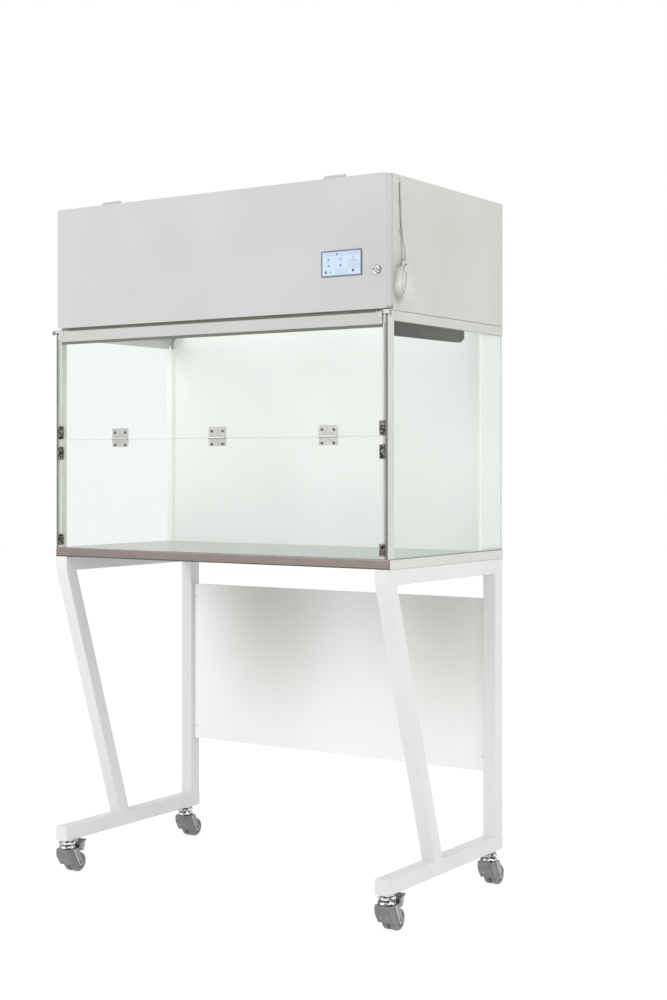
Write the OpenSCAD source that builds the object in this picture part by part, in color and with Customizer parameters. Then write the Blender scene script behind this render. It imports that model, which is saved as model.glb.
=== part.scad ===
// Vertical laminar flow hood on a wheeled stand of square tube.
// Millimetres, +Z up, front towards -Y, wheels on z = 0.
// Modules draw in the hood frame: x from the hood's middle plane, y from the cover's front face.
// place() moves them to the part's own frame, whose origin is under the middle of its box.

/* [Hood] */
// Outer width of hood, worktop and stand
hood_w = 1100; // [1040:10:1300]
// Outer depth, from the cover's front face to the back
hood_d = 600; // [580:10:700]
// Height from the worktop to the side rails
chamber_h = 588; // [560:2:680]
// Height of the side rails
rail_h = 26; // [24:1:40]
// Height of the filter housing above the rails
housing_h = 336; // [330:2:400]
// Thickness of the housing's sheet steel
sheet_t = 1.5; // [1.2:0.1:2]
// Depth of the front cover's tray
cover_d = 20; // [18:1:30]
// Gap under the front cover, above the rails
cover_gap = 3; // [2.5:0.5:6]
// Radius of the front cover's upright edges
cover_r = 10; // [6:1:14]
// Radius of the front cover's corners, seen from the front
cover_corner = 14; // [8:1:24]

/* [Windows] */
// Thickness of the side glass
side_glass_t = 6; // [4:0.5:8]
// Thickness of the two front panes
pane_t = 5; // [4:0.5:6]
// Height of the joint between the front panes, above the worktop
pane_joint_h = 304; // [260:2:340]
// Gap between the two front panes
pane_gap = 1; // [0.5:0.1:2]
// Gap from a pane's edge to what is beside it
pane_edge_gap = 1; // [0.5:0.1:3]
// Distance from the post's front face to the panes
pane_set_back = 4; // [2:0.5:6]
// Width of a corner post, seen from the front
post_w = 18; // [14:0.5:24]
// Depth of a front corner post
post_d = 26; // [22:1:40]
// Depth of the hollow rear wall
plenum_d = 100; // [40:5:120]
// Height of the header rail that holds the upper pane
header_h = 30; // [24:1:36]
// Depth of the header rail
header_d = 13; // [12:0.5:16]
// Radius of the header's pivot pins
pivot_r = 4; // [3:0.5:4.5]
// Reach of the left pivot pin past the hood's side
pin_proud = 16; // [4:1:20]

/* [Front panel] */
// Width of the touch screen's bezel
screen_w = 120; // [90:2:160]
// Height of the touch screen's bezel
screen_h = 65; // [50:1:90]
// Height of the screen's middle above the cover's lower edge
screen_up = 118; // [70:2:150]
// Distance from the screen's right edge to the hood's right side
screen_inset = 77; // [70:1:120]
// Distance from the lock's axis to the hood's right side
lock_inset = 33; // [33:1:50]
// Height of the lock above the cover's lower edge
lock_up = 96; // [60:1:140]
// Radius of the lock's barrel
lock_r = 9; // [7:0.5:10]

/* [Worktop] */
// Height of the worktop above the floor
worktop_h = 920; // [860:5:980]
// Thickness of the worktop
worktop_t = 25; // [20:1:40]
// Depth of the steel edge strip
strip_d = 6; // [3:0.5:12]
// Radius of the service port
port_r = 25; // [15:1:40]

/* [Stand] */
// Side of the square tube
tube = 40; // [35:1:50]
// Radius of the tube's edges
tube_r = 3; // [2:0.5:5]
// How far back the slanted front leg runs
leg_run = 228; // [120:4:260]
// Height of the modesty panel
panel_h = 476; // [300:4:600]
// Distance from the worktop to the modesty panel
panel_drop = 111; // [60:1:200]
// Depth of the modesty panel's folded edges
panel_fold = 14; // [8:1:20]

/* [Casters] */
// Height of a caster, floor to tube
caster_h = 95; // [93:1:110]
// Radius of a caster wheel
wheel_r = 27; // [24:0.5:27]
// Width of one of a caster's two wheels
wheel_w = 17; // [12:0.5:20]
// Distance from the swivel axis back to the axle
caster_trail = 31; // [30:0.5:32]
// Distance from the tube's front end to the front casters
caster_front = 24; // [22:1:60]
// Distance from the tube's back end to the rear casters
caster_rear = 45; // [24:1:80]

/* [Air path] */
// Height of the filter cassette
filter_h = 78; // [60:2:90]
// Radius of the fan's impeller
impeller_r = 125; // [90:5:140]
// Number of fan blades
blade_count = 7; // [5:1:9]
// Side of the square prefilter
prefilter_w = 320; // [240:10:340]
// Height from the hood's floor flange up to the slotted ceiling
ceiling_recess = 26; // [12:1:36]
// Height of the wiring cover inside the right glass, at its front end
wire_cover_h = 60; // [40:1:64]
// Front to back length of the wiring cover
wire_cover_l = 375; // [200:5:400]
// Radius of the lamp tube
lamp_r = 7; // [5:0.5:8]

/* [Hidden] */

eps = 0.01;
fine = 48;
// Clearances: beside a fixed piece, of a turning pin in its bore, and between hinge knuckles
fit = 0.3;
run = 0.05;
side_play = 0.4;

// Levels and planes that several pieces share
hx = hood_w / 2;
z_work = worktop_h;
z_rail = z_work + chamber_h;
z_shell = z_rail + rail_h;
z_top = z_shell + housing_h;
z_cover = z_shell + cover_gap;
z_joint = z_work + pane_joint_h;
z_beam = z_work - worktop_t - tube;
inner_x = hx - post_w;
shell_y = cover_d + 1;

// Side glass: its play in the grooves, its place in the post, its grip
glass_inset = 3;
glass_play = 0.2;
glass_grip = 7;
glass_x = hx - glass_inset - side_glass_t;
rail_x = glass_x - 5;
seal_bevel = 10;

// Header rail, its ears and pivot
header_gap = 6;
header_z1 = z_shell - header_gap;
header_z0 = header_z1 - header_h;
pivot_y = header_d / 2;
pivot_z = header_z1 - 3;
ear_w = 20;
ear_top = pivot_z + pivot_r + 2;
pin_grip = 18;
pane_grip = 7;

// Flanges of the housing shell
side_flange = 25;
floor_flange = 20;
back_flange = 12;

// Cover hinges: leaf width, length and thickness, knuckle radius, height of the axis
cover_hinge_w = 61;
cover_leaf = 22;
leaf_t = 2;
knuckle_r = 5;
hinge_pin_r = 2.5;
cover_axis_y = cover_d + 0.5;
cover_axis_z = z_top + knuckle_r + 1;
cover_hinge_x = [-hx + 189, hx - 171];

// Pane hinges
pane_hinge_x = [-315, 20, 370];
pane_hinge_w = 56;
pane_leaf_up = 25;
pane_leaf_down = 19;
pane_leaf_t = 1.6;
pane_knuckle_r = 3;
pane_pin_r = 1.5;
pane_axis_y = pane_set_back - pane_knuckle_r - side_play;
screw_r = 2;
screw_head_r = 3.6;
screw_head_h = 1.4;
screw_inset = 10;
screw_up = 17;

// Places of front panel fittings
screen_x = hx - screen_inset - screen_w / 2;
screen_z = z_cover + screen_up;
bezel_w = 5;
bezel_lip = 3;
lock_x = hx - lock_inset;
lock_z = z_cover + lock_up;
lock_proud = 3.6;
cam_y = shell_y + sheet_t + 3;
cam_l = 24;

// Ceiling of the work chamber and what hangs above it
filter_z = z_shell + sheet_t;
ceiling_z = z_shell + ceiling_recess;
wall_y = hood_d - plenum_d;
deck_z = z_top - housing_h * 0.37;
fan_y = hood_d / 2 + 10;
deck_fold = 15;
grille_lip = 15;

// Stand
frame_x = hx - tube;
z_base = caster_h;
port_x = hx - 100;
port_y = 110;

// Casters: front left, front right, rear left, rear right
corner = ["fl", "fr", "rl", "rr"];
caster_x = hx - tube / 2;
caster_at = [
    [-caster_x, caster_front], [caster_x, caster_front],
    [-caster_x, hood_d - caster_rear], [caster_x, hood_d - caster_rear]
];
stem_r = 6;
stem_l = 30;
head_z = 69.5;
race_r = 24;
fork_top = head_z - fit;
fork_plate = 5;
cheek_t = 2.5;
wheel_split = 4;
cheek_x = wheel_split / 2 + wheel_w + 1;
axle_r = 4;
axle_boss = 8;
brake_y = caster_trail - 1;
brake_z = 73;
brake_pin_r = 2;

// Socket on the right side
socket_y = 22;
socket_w = 52;
socket_h = 86;
socket_z = z_cover + 29;
socket_d = 24;
socket_proud = 34;
well_r = 19;
well_d = 16;
lid_axis_x = hx + socket_d + 5;
lid_axis_z = socket_z + socket_h - 3;
lid_pin_r = 1.5;
lead_r = 3.5;
gland_h = 12;
gland_x = hx + 12;
gland_y = socket_y + socket_w - 12;
gland_z = socket_z + socket_h + gland_h;
lead_hole_z = z_top - 13;
lead_hole_y = 52;
lead_out = lead_r + 0.5;
// Route of the lead, from the gland up the side and in through the wall. Each point gives its
// distance from the wall, its share of the gland's step back and its share of the rise.
lead_shares = [
    [12, 1, 0], [12, 1, 0.083], [9, 0.9, 0.197], [6, 0.75, 0.311], [4.3, 0.55, 0.435],
    [lead_out, 0.4, 0.56], [lead_out, 0.25, 0.684], [lead_out, 0.1, 0.808], [lead_out, 0, 0.912],
    [lead_out - 0.1, 0, 0.964], [1.5, 0, 0.992], [-4, 0, 1], [-10, 0, 1]
];
lead_route = [for (s = lead_shares)
    [hx + s[0], lead_hole_y + s[1] * (gland_y - lead_hole_y), gland_z + s[2] * (lead_hole_z - gland_z)]];

// Middle of the whole part's box, in the hood frame
front_reach = max(lock_proud, pane_knuckle_r - pane_axis_y);
rear_reach = hood_d - caster_rear + caster_trail + wheel_r;
mid_x = (socket_proud - pin_proud) / 2;
mid_y = (rear_reach - front_reach) / 2;

module place() {
    translate([-mid_x, -mid_y, 0]) children();
}

// ---- outlines ----

function arc(x, y, r, a0, a1, n) =
    [for (i = [0:n]) let (a = a0 + (a1 - a0) * i / n) [x + r * cos(a), y + r * sin(a)]];

// Rectangle with rounded corners, its lower left corner at the origin
function round_box(w, h, r, n = 4) = concat(
    arc(w - r, h - r, r, 0, 90, n), arc(r, h - r, r, 90, 180, n),
    arc(r, r, r, 180, 270, n), arc(w - r, r, r, 270, 360, n)
);

// Two circles over each other and their tangents: a drop, its larger circle below
function drop(x, y0, r0, y1, r1, n = 5) = let (a = asin((r0 - r1) / (y1 - y0)))
    concat(arc(x, y1, r1, a, 180 - a, n), arc(x, y0, r0, 180 - a, 360 + a, 2 * n));

// ---- solids ----

// Box given by two corners
module block(a, b) {
    translate(a) cube(b - a);
}

// Prism along X from x0 to x1 over an outline in Y and Z
module along_x(x0, x1, points) {
    translate([x0, 0, 0]) rotate([90, 0, 90]) linear_extrude(x1 - x0) polygon(points);
}

// Prism along Y from y0 to y1 over an outline in X and Z
module along_y(y0, y1, points) {
    translate([0, y1, 0]) rotate([90, 0, 0]) linear_extrude(y1 - y0) polygon(points);
}

// Prism along Z from z0 to z1 over an outline in X and Y
module along_z(z0, z1, points) {
    translate([0, 0, z0]) linear_extrude(z1 - z0) polygon(points);
}

// Rods along X, Y and Z from one point to another
module rod_x(x0, x1, y, z, r) {
    translate([x0, y, z]) rotate([0, 90, 0]) cylinder(h = x1 - x0, r = r, $fn = fine);
}

module rod_y(y0, y1, x, z, r) {
    translate([x, y1, z]) rotate([90, 0, 0]) cylinder(h = y1 - y0, r = r, $fn = fine);
}

module rod_z(z0, z1, x, y, r) {
    translate([x, y, z0]) cylinder(h = z1 - z0, r = r, $fn = fine);
}

module mirrored_if(left) {
    if (left) mirror([1, 0, 0]) children();
    else children();
}

// ---- hinges ----

// Spans of every second knuckle along a hinge of width w that has count knuckles
function knuckle_spans(w, count, first) = [for (k = [first:2:count - 1])
    [-w / 2 + k * w / count + (k > 0 ? side_play / 2 : 0),
        -w / 2 + (k + 1) * w / count - (k < count - 1 ? side_play / 2 : 0)]];

// Leaf of a butt hinge. Axis along X through the origin, leaf towards +Y, its underside
// low below the axis. The leaf without the outer knuckles holds the pin.
module hinge_leaf(w, leaf, t, r, low, pin, inner, count = 3) {
    start = r + side_play;
    difference() {
        union() {
            block([-w / 2, start, -low], [w / 2, start + leaf, -low + t]);
            for (s = knuckle_spans(w, count, inner ? 1 : 0)) {
                rod_x(s[0], s[1], 0, 0, r);
                block([s[0], 0, -low], [s[1], start + 1, -low + t + 0.6]);
            }
        }
        if (!inner) rod_x(-w, w, 0, 0, pin + run);
    }
    if (inner) rod_x(-w / 2, w / 2, 0, 0, pin);
}

// ---- filter housing ----

module housing_shell() {
    color("gainsboro") difference() {
        block([-hx, shell_y + sheet_t, z_shell], [hx, hood_d, z_top]);
        block([-hx + sheet_t, shell_y, z_shell + sheet_t],
            [hx - sheet_t, hood_d - sheet_t, z_top - sheet_t]);
        // Floor opening over the work chamber
        block([-hx + floor_flange, shell_y + floor_flange, z_shell - 1],
            [hx - floor_flange, hood_d - back_flange, z_shell + sheet_t + 1]);
        // Air intake in the top
        block([-prefilter_w / 2, fan_y - prefilter_w / 2, z_top - sheet_t - 1],
            [prefilter_w / 2, fan_y + prefilter_w / 2, z_top + 1]);
        rod_x(hx - 5, hx + 1, lead_hole_y, lead_hole_z, lead_r + 4);
    }
}

// Four flat strips round the housing's open front, for the cover to close on
module front_frame() {
    y1 = shell_y + sheet_t;
    x1 = hx - side_flange;
    color("gainsboro") {
        for (s = [0, 1]) mirrored_if(s == 1) block([x1, shell_y, z_shell], [hx, y1, z_top]);
        for (z = [z_shell, z_top - side_flange])
            block([-x1 + fit, shell_y, z], [x1 - fit, y1, z + side_flange]);
    }
}

module side_rail(left) {
    groove_w = 3;
    groove_h = 2;
    color("lightgray") mirrored_if(left) difference() {
        block([rail_x, post_d, z_rail], [hx, hood_d, z_shell]);
        block([glass_x - glass_play, post_d - 1, z_rail - 1],
            [glass_x + side_glass_t + glass_play, hood_d + 1, z_rail + glass_grip + glass_play]);
        block([hx - groove_w, post_d - 1, z_shell - groove_h], [hx + 1, hood_d + 1, z_shell + 1]);
    }
}

// Outline of the cover from above, with round front corners
function cover_plan(inset, r, back) = concat(
    [[hx - inset, back], [-hx + inset, back]],
    arc(-hx + inset + r, inset + r, r, 180, 270, 6),
    arc(hx - inset - r, inset + r, r, 270, 360, 6)
);

// The cover's solid form, shrunk by an inset on the front and four sides
module cover_form(inset) {
    r = cover_r - inset;
    h = z_top - z_cover - 2 * inset;
    w = hood_w - 2 * inset;
    back = inset > 0 ? cover_d + 1 : cover_d;
    intersection() {
        along_z(z_cover + inset, z_top - inset, cover_plan(inset, r, back));
        translate([-hx + inset, 0, z_cover + inset])
            along_y(-1, back + 1, round_box(w, h, cover_corner - inset, 5));
    }
}

module front_cover() {
    color("gainsboro") difference() {
        cover_form(0);
        // The tray is open at the back
        cover_form(sheet_t);
        block([screen_x - screen_w / 2 + bezel_w, -1, screen_z - screen_h / 2 + bezel_w],
            [screen_x + screen_w / 2 - bezel_w, sheet_t + 1, screen_z + screen_h / 2 - bezel_w]);
        rod_y(-1, sheet_t + 1, lock_x, lock_z, lock_r + run);
    }
}

module cover_hinge_fixed() {
    color("silver") for (x = cover_hinge_x) translate([x, cover_axis_y, cover_axis_z])
        hinge_leaf(cover_hinge_w, cover_leaf, leaf_t, knuckle_r, cover_axis_z - z_top,
            hinge_pin_r, true);
}

module cover_hinge_moving() {
    color("silver") for (x = cover_hinge_x) translate([x, cover_axis_y, cover_axis_z]) mirror([0, 1, 0])
        hinge_leaf(cover_hinge_w, cover_d - knuckle_r - 4, leaf_t, knuckle_r, cover_axis_z - z_top,
            hinge_pin_r, false);
}

module lock_body() {
    bore = lock_r - 3;
    color("silver") translate([lock_x, 0, lock_z]) difference() {
        union() {
            rod_y(-3, 0, 0, 0, lock_r + 2);
            rod_y(0, cover_d - 2, 0, 0, lock_r);
        }
        rod_y(-4, cover_d, 0, 0, bore + run);
    }
}

module lock_cam() {
    rotor = lock_r - 3;
    slot_w = 1.4;
    color("gray") translate([lock_x, 0, lock_z]) {
        difference() {
            rod_y(-lock_proud, cam_y, 0, 0, rotor);
            block([-slot_w / 2, -5, -rotor + 2], [slot_w / 2, 2, rotor - 2]);
        }
        // Cam plate, hanging clear of the flange when unlocked
        along_y(cam_y, cam_y + 2, concat(
            arc(0, 0, rotor, 0, 180, 8), [[-rotor + 1, -cam_l], [rotor - 1, -cam_l]]));
    }
}

module screen_bezel() {
    color("dimgray") translate([screen_x, 0, screen_z]) difference() {
        union() {
            along_y(-2, 0, [for (p = round_box(screen_w, screen_h, 2)) p - [screen_w, screen_h] / 2]);
            block([-screen_w / 2 + bezel_w + 0.2, 0, -screen_h / 2 + bezel_w + 0.2],
                [screen_w / 2 - bezel_w - 0.2, 8, screen_h / 2 - bezel_w - 0.2]);
        }
        display_form();
    }
}

// Thin glass in the bezel's front, and the display's body behind it
module display_form(play = 0) {
    size = [screen_w, screen_h] / 2;
    face = size - [1, 1] * (bezel_lip + play);
    body = size - [1, 1] * (bezel_w + 2 + play);
    block([-face[0], play > 0 ? -1.6 : -3, -face[1]], [face[0], -0.5, face[1]]);
    block([-body[0], -1, -body[1]], [body[0], 4, body[1]]);
}

module screen_display() {
    color("lightblue") translate([screen_x, 0, screen_z]) display_form(0.1);
}

// ---- air path ----

module prefilter_grille() {
    rim = prefilter_w / 2 + grille_lip;
    skirt = prefilter_w / 2 - fit;
    slot_count = 12;
    slot_l = prefilter_w / 2 - 24;
    pitch = (prefilter_w - 40) / slot_count;
    color("lightgray") translate([0, fan_y, 0]) difference() {
        union() {
            block([-rim, -rim, z_top], [rim, rim, z_top + 2]);
            block([-skirt, -skirt, z_top - 22], [skirt, skirt, z_top]);
        }
        block([-skirt + 2, -skirt + 2, z_top - 23], [skirt - 2, skirt - 2, z_top - 1]);
        for (i = [0:slot_count - 1], side = [0, 1])
            translate([side * (slot_l + 8) - slot_l - 4, (i - slot_count / 2 + 0.5) * pitch - 4, z_top - 2])
                cube([slot_l, 8, 5]);
    }
}

module prefilter_mat() {
    side = prefilter_w / 2 - 2 - 2 * fit;
    color("white") translate([0, fan_y, 0]) block([-side, -side, z_top - 20], [side, side, z_top - 1]);
}

module fan_deck() {
    reach = hx - sheet_t - fit;
    y0 = shell_y + sheet_t + 8;
    y1 = hood_d - sheet_t - fit;
    throat = impeller_r * 0.62;
    color("silver") {
        difference() {
            block([-reach, y0, deck_z - deck_fold], [reach, y1, deck_z]);
            block([-reach + 2, y0 + 2, deck_z - deck_fold - 1], [reach - 2, y1 - 2, deck_z - 2]);
            rod_z(deck_z - 3, deck_z + 1, 0, fan_y, throat + 12);
        }
        // Inlet ring pressed into the deck
        translate([0, fan_y, 0]) rotate_extrude($fn = 72) polygon(concat(
            [[throat + 13, deck_z - 2], [throat + 13, deck_z]],
            arc(throat + 12, deck_z - 14, 14, 90, 180, 5),
            [[throat - 2, deck_z - 22], [throat, deck_z - 22]],
            arc(throat + 12, deck_z - 14, 12, 180, 90, 5)
        ));
    }
}

// Levels of the fan, hung under the deck, and its hub
fan_z1 = deck_z - 16;
fan_z0 = fan_z1 - impeller_r / 2;
hub_r = impeller_r * 0.37;
shaft_r = 6;

module fan_motor() {
    arm_r = impeller_r + 12;
    arm_z = fan_z0 - 12;
    color("gray") translate([0, fan_y, 0]) {
        difference() {
            union() {
                rod_z(arm_z, fan_z0 - 1, 0, 0, hub_r);
                rod_z(fan_z0 - 2, fan_z0 + 30, 0, 0, hub_r - 12);
            }
            rod_z(fan_z0, fan_z0 + 31, 0, 0, shaft_r + 2);
        }
        rod_z(fan_z0 - 1, fan_z0 + 42, 0, 0, shaft_r);
        // Arms and hangers that carry the motor from the deck
        for (a = [45:90:315]) rotate([0, 0, a]) {
            block([hub_r - 2, -8, arm_z], [arm_r, 8, arm_z + 4]);
            block([arm_r - 4, -8, arm_z], [arm_r, 8, deck_z - 2]);
        }
    }
}

// One blade seen from above, curved back from the hub to the rim
function blade_arc(r0, r1, sweep, shift) =
    [for (i = [0:6]) let (r = r0 + (r1 - r0) * i / 6, a = shift - sweep * i / 6) [r * cos(a), r * sin(a)]];

module fan_impeller() {
    back_t = 2;
    cup_in = hub_r - 8;
    color("lightslategray") translate([0, fan_y, 0]) {
        difference() {
            union() {
                rod_z(fan_z0, fan_z0 + back_t, 0, 0, impeller_r);
                rod_z(fan_z0, fan_z0 + 38, 0, 0, hub_r);
            }
            rod_z(fan_z0 - 1, fan_z0 + 34, 0, 0, cup_in);
            rod_z(fan_z0, fan_z0 + 39, 0, 0, shaft_r + run);
        }
        for (k = [0:blade_count - 1]) rotate([0, 0, k * 360 / blade_count])
            along_z(fan_z0 + back_t - eps, fan_z1 - 9, concat(
                blade_arc(hub_r + 12, impeller_r - 1, 52, 0),
                [for (i = [6:-1:0]) blade_arc(hub_r + 12, impeller_r - 1, 52, 2)[i]]));
        // Shroud ring over the blades
        difference() {
            rod_z(fan_z1 - 9 - eps, fan_z1 - 7, 0, 0, impeller_r);
            rod_z(fan_z1 - 10, fan_z1 - 6, 0, 0, impeller_r * 0.62 + 3);
        }
    }
}

// Filter cassette: wall of its frame, lip inside it, and where it sits
frame_wall = 8;
frame_lip = 5;
cassette_x = hx - sheet_t - 2;
cassette_y0 = shell_y + sheet_t + 8;
cassette_y1 = hood_d - sheet_t - 2;

module filter_frame() {
    inset = frame_wall + frame_lip;
    color("silver") difference() {
        block([-cassette_x, cassette_y0, filter_z], [cassette_x, cassette_y1, filter_z + filter_h]);
        block([-cassette_x + frame_wall, cassette_y0 + frame_wall, ceiling_z],
            [cassette_x - frame_wall, cassette_y1 - frame_wall, filter_z + filter_h + 1]);
        block([-cassette_x + inset, cassette_y0 + inset, filter_z - 1],
            [cassette_x - inset, cassette_y1 - inset, ceiling_z + 1]);
    }
}

// Pleated sheet, drawn as one folded band
module filter_pack() {
    reach = cassette_x - frame_wall - fit;
    folds = 80;
    pitch = 2 * reach / folds;
    z0 = ceiling_z + sheet_t + 1;
    z1 = filter_z + filter_h - 5;
    band = 3;
    lower = [for (i = [0:folds]) [-reach + i * pitch, i % 2 == 0 ? z0 : z1 - band]];
    upper = [for (i = [folds:-1:0]) [-reach + i * pitch, i % 2 == 0 ? z0 + band : z1]];
    color("white")
        along_y(cassette_y0 + frame_wall + fit, cassette_y1 - frame_wall - fit, concat(lower, upper));
}

// Slotted ceiling plate that evens out the air
module air_diffuser() {
    x1 = cassette_x - frame_wall - fit;
    y0 = cassette_y0 + frame_wall + fit;
    y1 = cassette_y1 - frame_wall - fit;
    columns = 16;
    rows = 12;
    step_x = (2 * x1 - 40) / columns;
    step_y = (wall_y - 70 - y0) / rows;
    color("dimgray") difference() {
        block([-x1, y0, ceiling_z], [x1, y1, ceiling_z + sheet_t]);
        for (i = [0:columns - 1], j = [0:rows - 1])
            translate([(i - columns / 2 + 0.5) * step_x, wall_y - 5 - (j + 0.5) * step_y, ceiling_z - 1])
                translate([-step_x * 0.38, -6, 0]) cube([step_x * 0.76, 12, sheet_t + 2]);
    }
}

// Outline of the wiring cover in Y and Z, shrunk by an inset below and at both ends
function wire_side(inset) = let (
    y0 = post_d + 4 + inset,
    y1 = post_d + 4 + wire_cover_l - inset,
    z0 = z_shell - wire_cover_h + inset
) [[y0, z0], [y1 - 18, z0 + 3], [y1, z0 + 14], [y1, z_shell + inset], [y0, z_shell + inset]];

module wiring_cover() {
    x1 = glass_x - 7;
    x0 = x1 - 17;
    color("dimgray") difference() {
        along_x(x0, x1, wire_side(0));
        along_x(x0 + sheet_t, x1 + 1, wire_side(sheet_t));
    }
}

module lamp_tube() {
    y = cassette_y0 + frame_wall + 28;
    z = ceiling_z - 3 - lamp_r;
    reach = hx - 80;
    color("white") {
        rod_x(-reach, reach, y, z, lamp_r);
        for (s = [-1, 1]) translate([s * (reach + 6), y, 0])
            block([-10, -10, z - lamp_r - 2], [10, 10, ceiling_z]);
    }
}

// Box on the deck with a row of cooling ribs
module control_box() {
    size = [hood_w / 5, hood_d / 5, housing_h / 5];
    ribs = 7;
    pitch = size[0] / (ribs + 1);
    color("gray") translate([hx - 70 - size[0], 60, deck_z]) {
        cube(size);
        for (i = [1:ribs])
            block([i * pitch - 6, 10, size[2] - 1], [i * pitch + 6, size[1] - 10, size[2] + 4]);
    }
}

// ---- front sash ----

module header_rail() {
    slot_y = pane_set_back - glass_play;
    color("lightgray") difference() {
        union() {
            along_x(-inner_x + pane_edge_gap, inner_x - pane_edge_gap, concat(
                [[0, header_z0], [header_d, header_z0], [header_d, header_z1 - 3], [header_d - 3, header_z1]],
                arc(3, header_z1 - 3, 3, 90, 180, 4)));
            // Ears that carry the pivots
            for (s = [0, 1]) mirrored_if(s == 1)
                along_x(inner_x - pane_edge_gap - ear_w, inner_x - pane_edge_gap, concat(
                    [[pivot_y - 6, header_z1 - 8], [pivot_y + 6, header_z1 - 8]],
                    arc(pivot_y, ear_top - 6, 6, 0, 180, 8)));
        }
        // Slot for the upper pane
        block([-hx, slot_y, header_z0 - 1],
            [hx, pane_set_back + pane_t + glass_play, header_z0 + pane_grip]);
        for (s = [0, 1]) mirrored_if(s == 1)
            rod_x(inner_x - pane_edge_gap - pin_grip, inner_x, pivot_y, pivot_z, pivot_r + run);
    }
}

module pivot_pins() {
    head_r = pivot_r + 2;
    color("silver") {
        // Left pin stands proud of the side, right pin ends in a low head
        rod_x(-hx - pin_proud, -inner_x + pane_edge_gap + pin_grip - 1, pivot_y, pivot_z, pivot_r);
        rod_x(-hx - pin_proud, -hx - pin_proud + 4, pivot_y, pivot_z, head_r);
        rod_x(inner_x - pane_edge_gap - pin_grip + 1, hx + 3, pivot_y, pivot_z, pivot_r);
        rod_x(hx, hx + 3, pivot_y, pivot_z, head_r);
    }
}

// Holes for the leaf screws of all pane hinges, dir is 1 above the joint and -1 below it
module leaf_screw_places(dir) {
    for (x = pane_hinge_x, side = [-1, 1])
        translate([x + side * (pane_hinge_w / 2 - screw_inset), 0, z_joint + dir * screw_up]) children();
}

module pane(z0, z1, dir) {
    reach = inner_x - pane_edge_gap;
    color("azure") difference() {
        block([-reach, pane_set_back, z0], [reach, pane_set_back + pane_t, z1]);
        leaf_screw_places(dir) rod_y(pane_set_back - 1, pane_set_back + pane_t + 1, 0, 0, screw_r + run);
    }
}

module upper_pane() {
    pane(z_joint + pane_gap / 2, header_z0 + pane_grip, 1);
}

module lower_pane() {
    pane(z_work + pane_edge_gap + 1, z_joint - pane_gap / 2, -1);
}

// Pane hinges of five knuckles: the upper leaf has the second, the fourth and the pin
module pane_hinge(upper) {
    low = pane_set_back - pane_axis_y;
    leaf = upper ? pane_leaf_up : pane_leaf_down;
    color("silver") difference() {
        for (x = pane_hinge_x) translate([x, pane_axis_y, z_joint])
            mirror([0, 0, upper ? 0 : 1]) rotate([90, 0, 0])
                hinge_leaf(pane_hinge_w, leaf, pane_leaf_t, pane_knuckle_r, low, pane_pin_r, upper, 5);
        leaf_screw_places(upper ? 1 : -1)
            rod_y(pane_set_back - pane_leaf_t - 1, pane_set_back + 1, 0, 0, screw_r + run);
    }
}

module leaf_screws(dir) {
    face = pane_set_back - pane_leaf_t;
    back = pane_set_back + pane_t;
    color("gray") leaf_screw_places(dir) {
        difference() {
            rod_y(face - screw_head_h, face, 0, 0, screw_head_r);
            block([-screw_head_r, face - screw_head_h - 1, -0.4],
                [screw_head_r, face - screw_head_h + 0.6, 0.4]);
        }
        rod_y(face - 0.1, back + 3, 0, 0, screw_r);
        rod_y(back, back + 3, 0, 0, screw_head_r + 0.6);
    }
}

// Catches on the edges of the panes that overlap the posts, between two heights over the worktop
module catches(spans) {
    over = 9;
    foot_w = 6;
    front = -2.6;
    nose = -3.5;
    x0 = inner_x - pane_edge_gap - foot_w;
    x1 = inner_x + over;
    color("dimgray") for (s = [0, 1], c = spans) mirrored_if(s == 1) {
        z0 = z_work + c[0];
        z1 = z_work + c[1];
        block([x0, front, z0], [x1, -1, z1]);
        block([x0, -1 - eps, z0 + 1], [x0 + foot_w - 0.5, pane_set_back, z1 - 1]);
        for (z = [z0 + 8, z1 - 8]) rod_y(nose, front + eps, (x0 + x1) / 2, z, 5);
    }
}

module upper_catches() {
    catches([[pane_joint_h + 1, pane_joint_h + 37]]);
}

module lower_catches() {
    catches([[8, 38], [pane_joint_h - 57, pane_joint_h - 21]]);
}

// ---- work chamber ----

module front_post(left) {
    slot = side_glass_t + 2 * glass_play;
    slot_d = glass_grip - 1;
    x0 = glass_x - glass_play;
    color("whitesmoke") mirrored_if(left) difference() {
        along_z(z_work, z_shell, concat(
            [[inner_x, pane_set_back], [inner_x + seal_bevel, 0]], arc(hx - 1.5, 1.5, 1.5, 270, 360, 3),
            [[hx, post_d], [x0 + slot, post_d], [x0 + slot, post_d - slot_d],
                [x0, post_d - slot_d], [x0, post_d], [inner_x, post_d]]));
        rod_x(inner_x - 1, hx + 1, pivot_y, pivot_z, pivot_r + run);
    }
}

module side_glass(left) {
    color("azure") mirrored_if(left)
        block([glass_x, post_d - glass_grip + 1 + glass_play, z_work],
            [glass_x + side_glass_t, hood_d, z_rail + glass_grip]);
}

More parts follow.
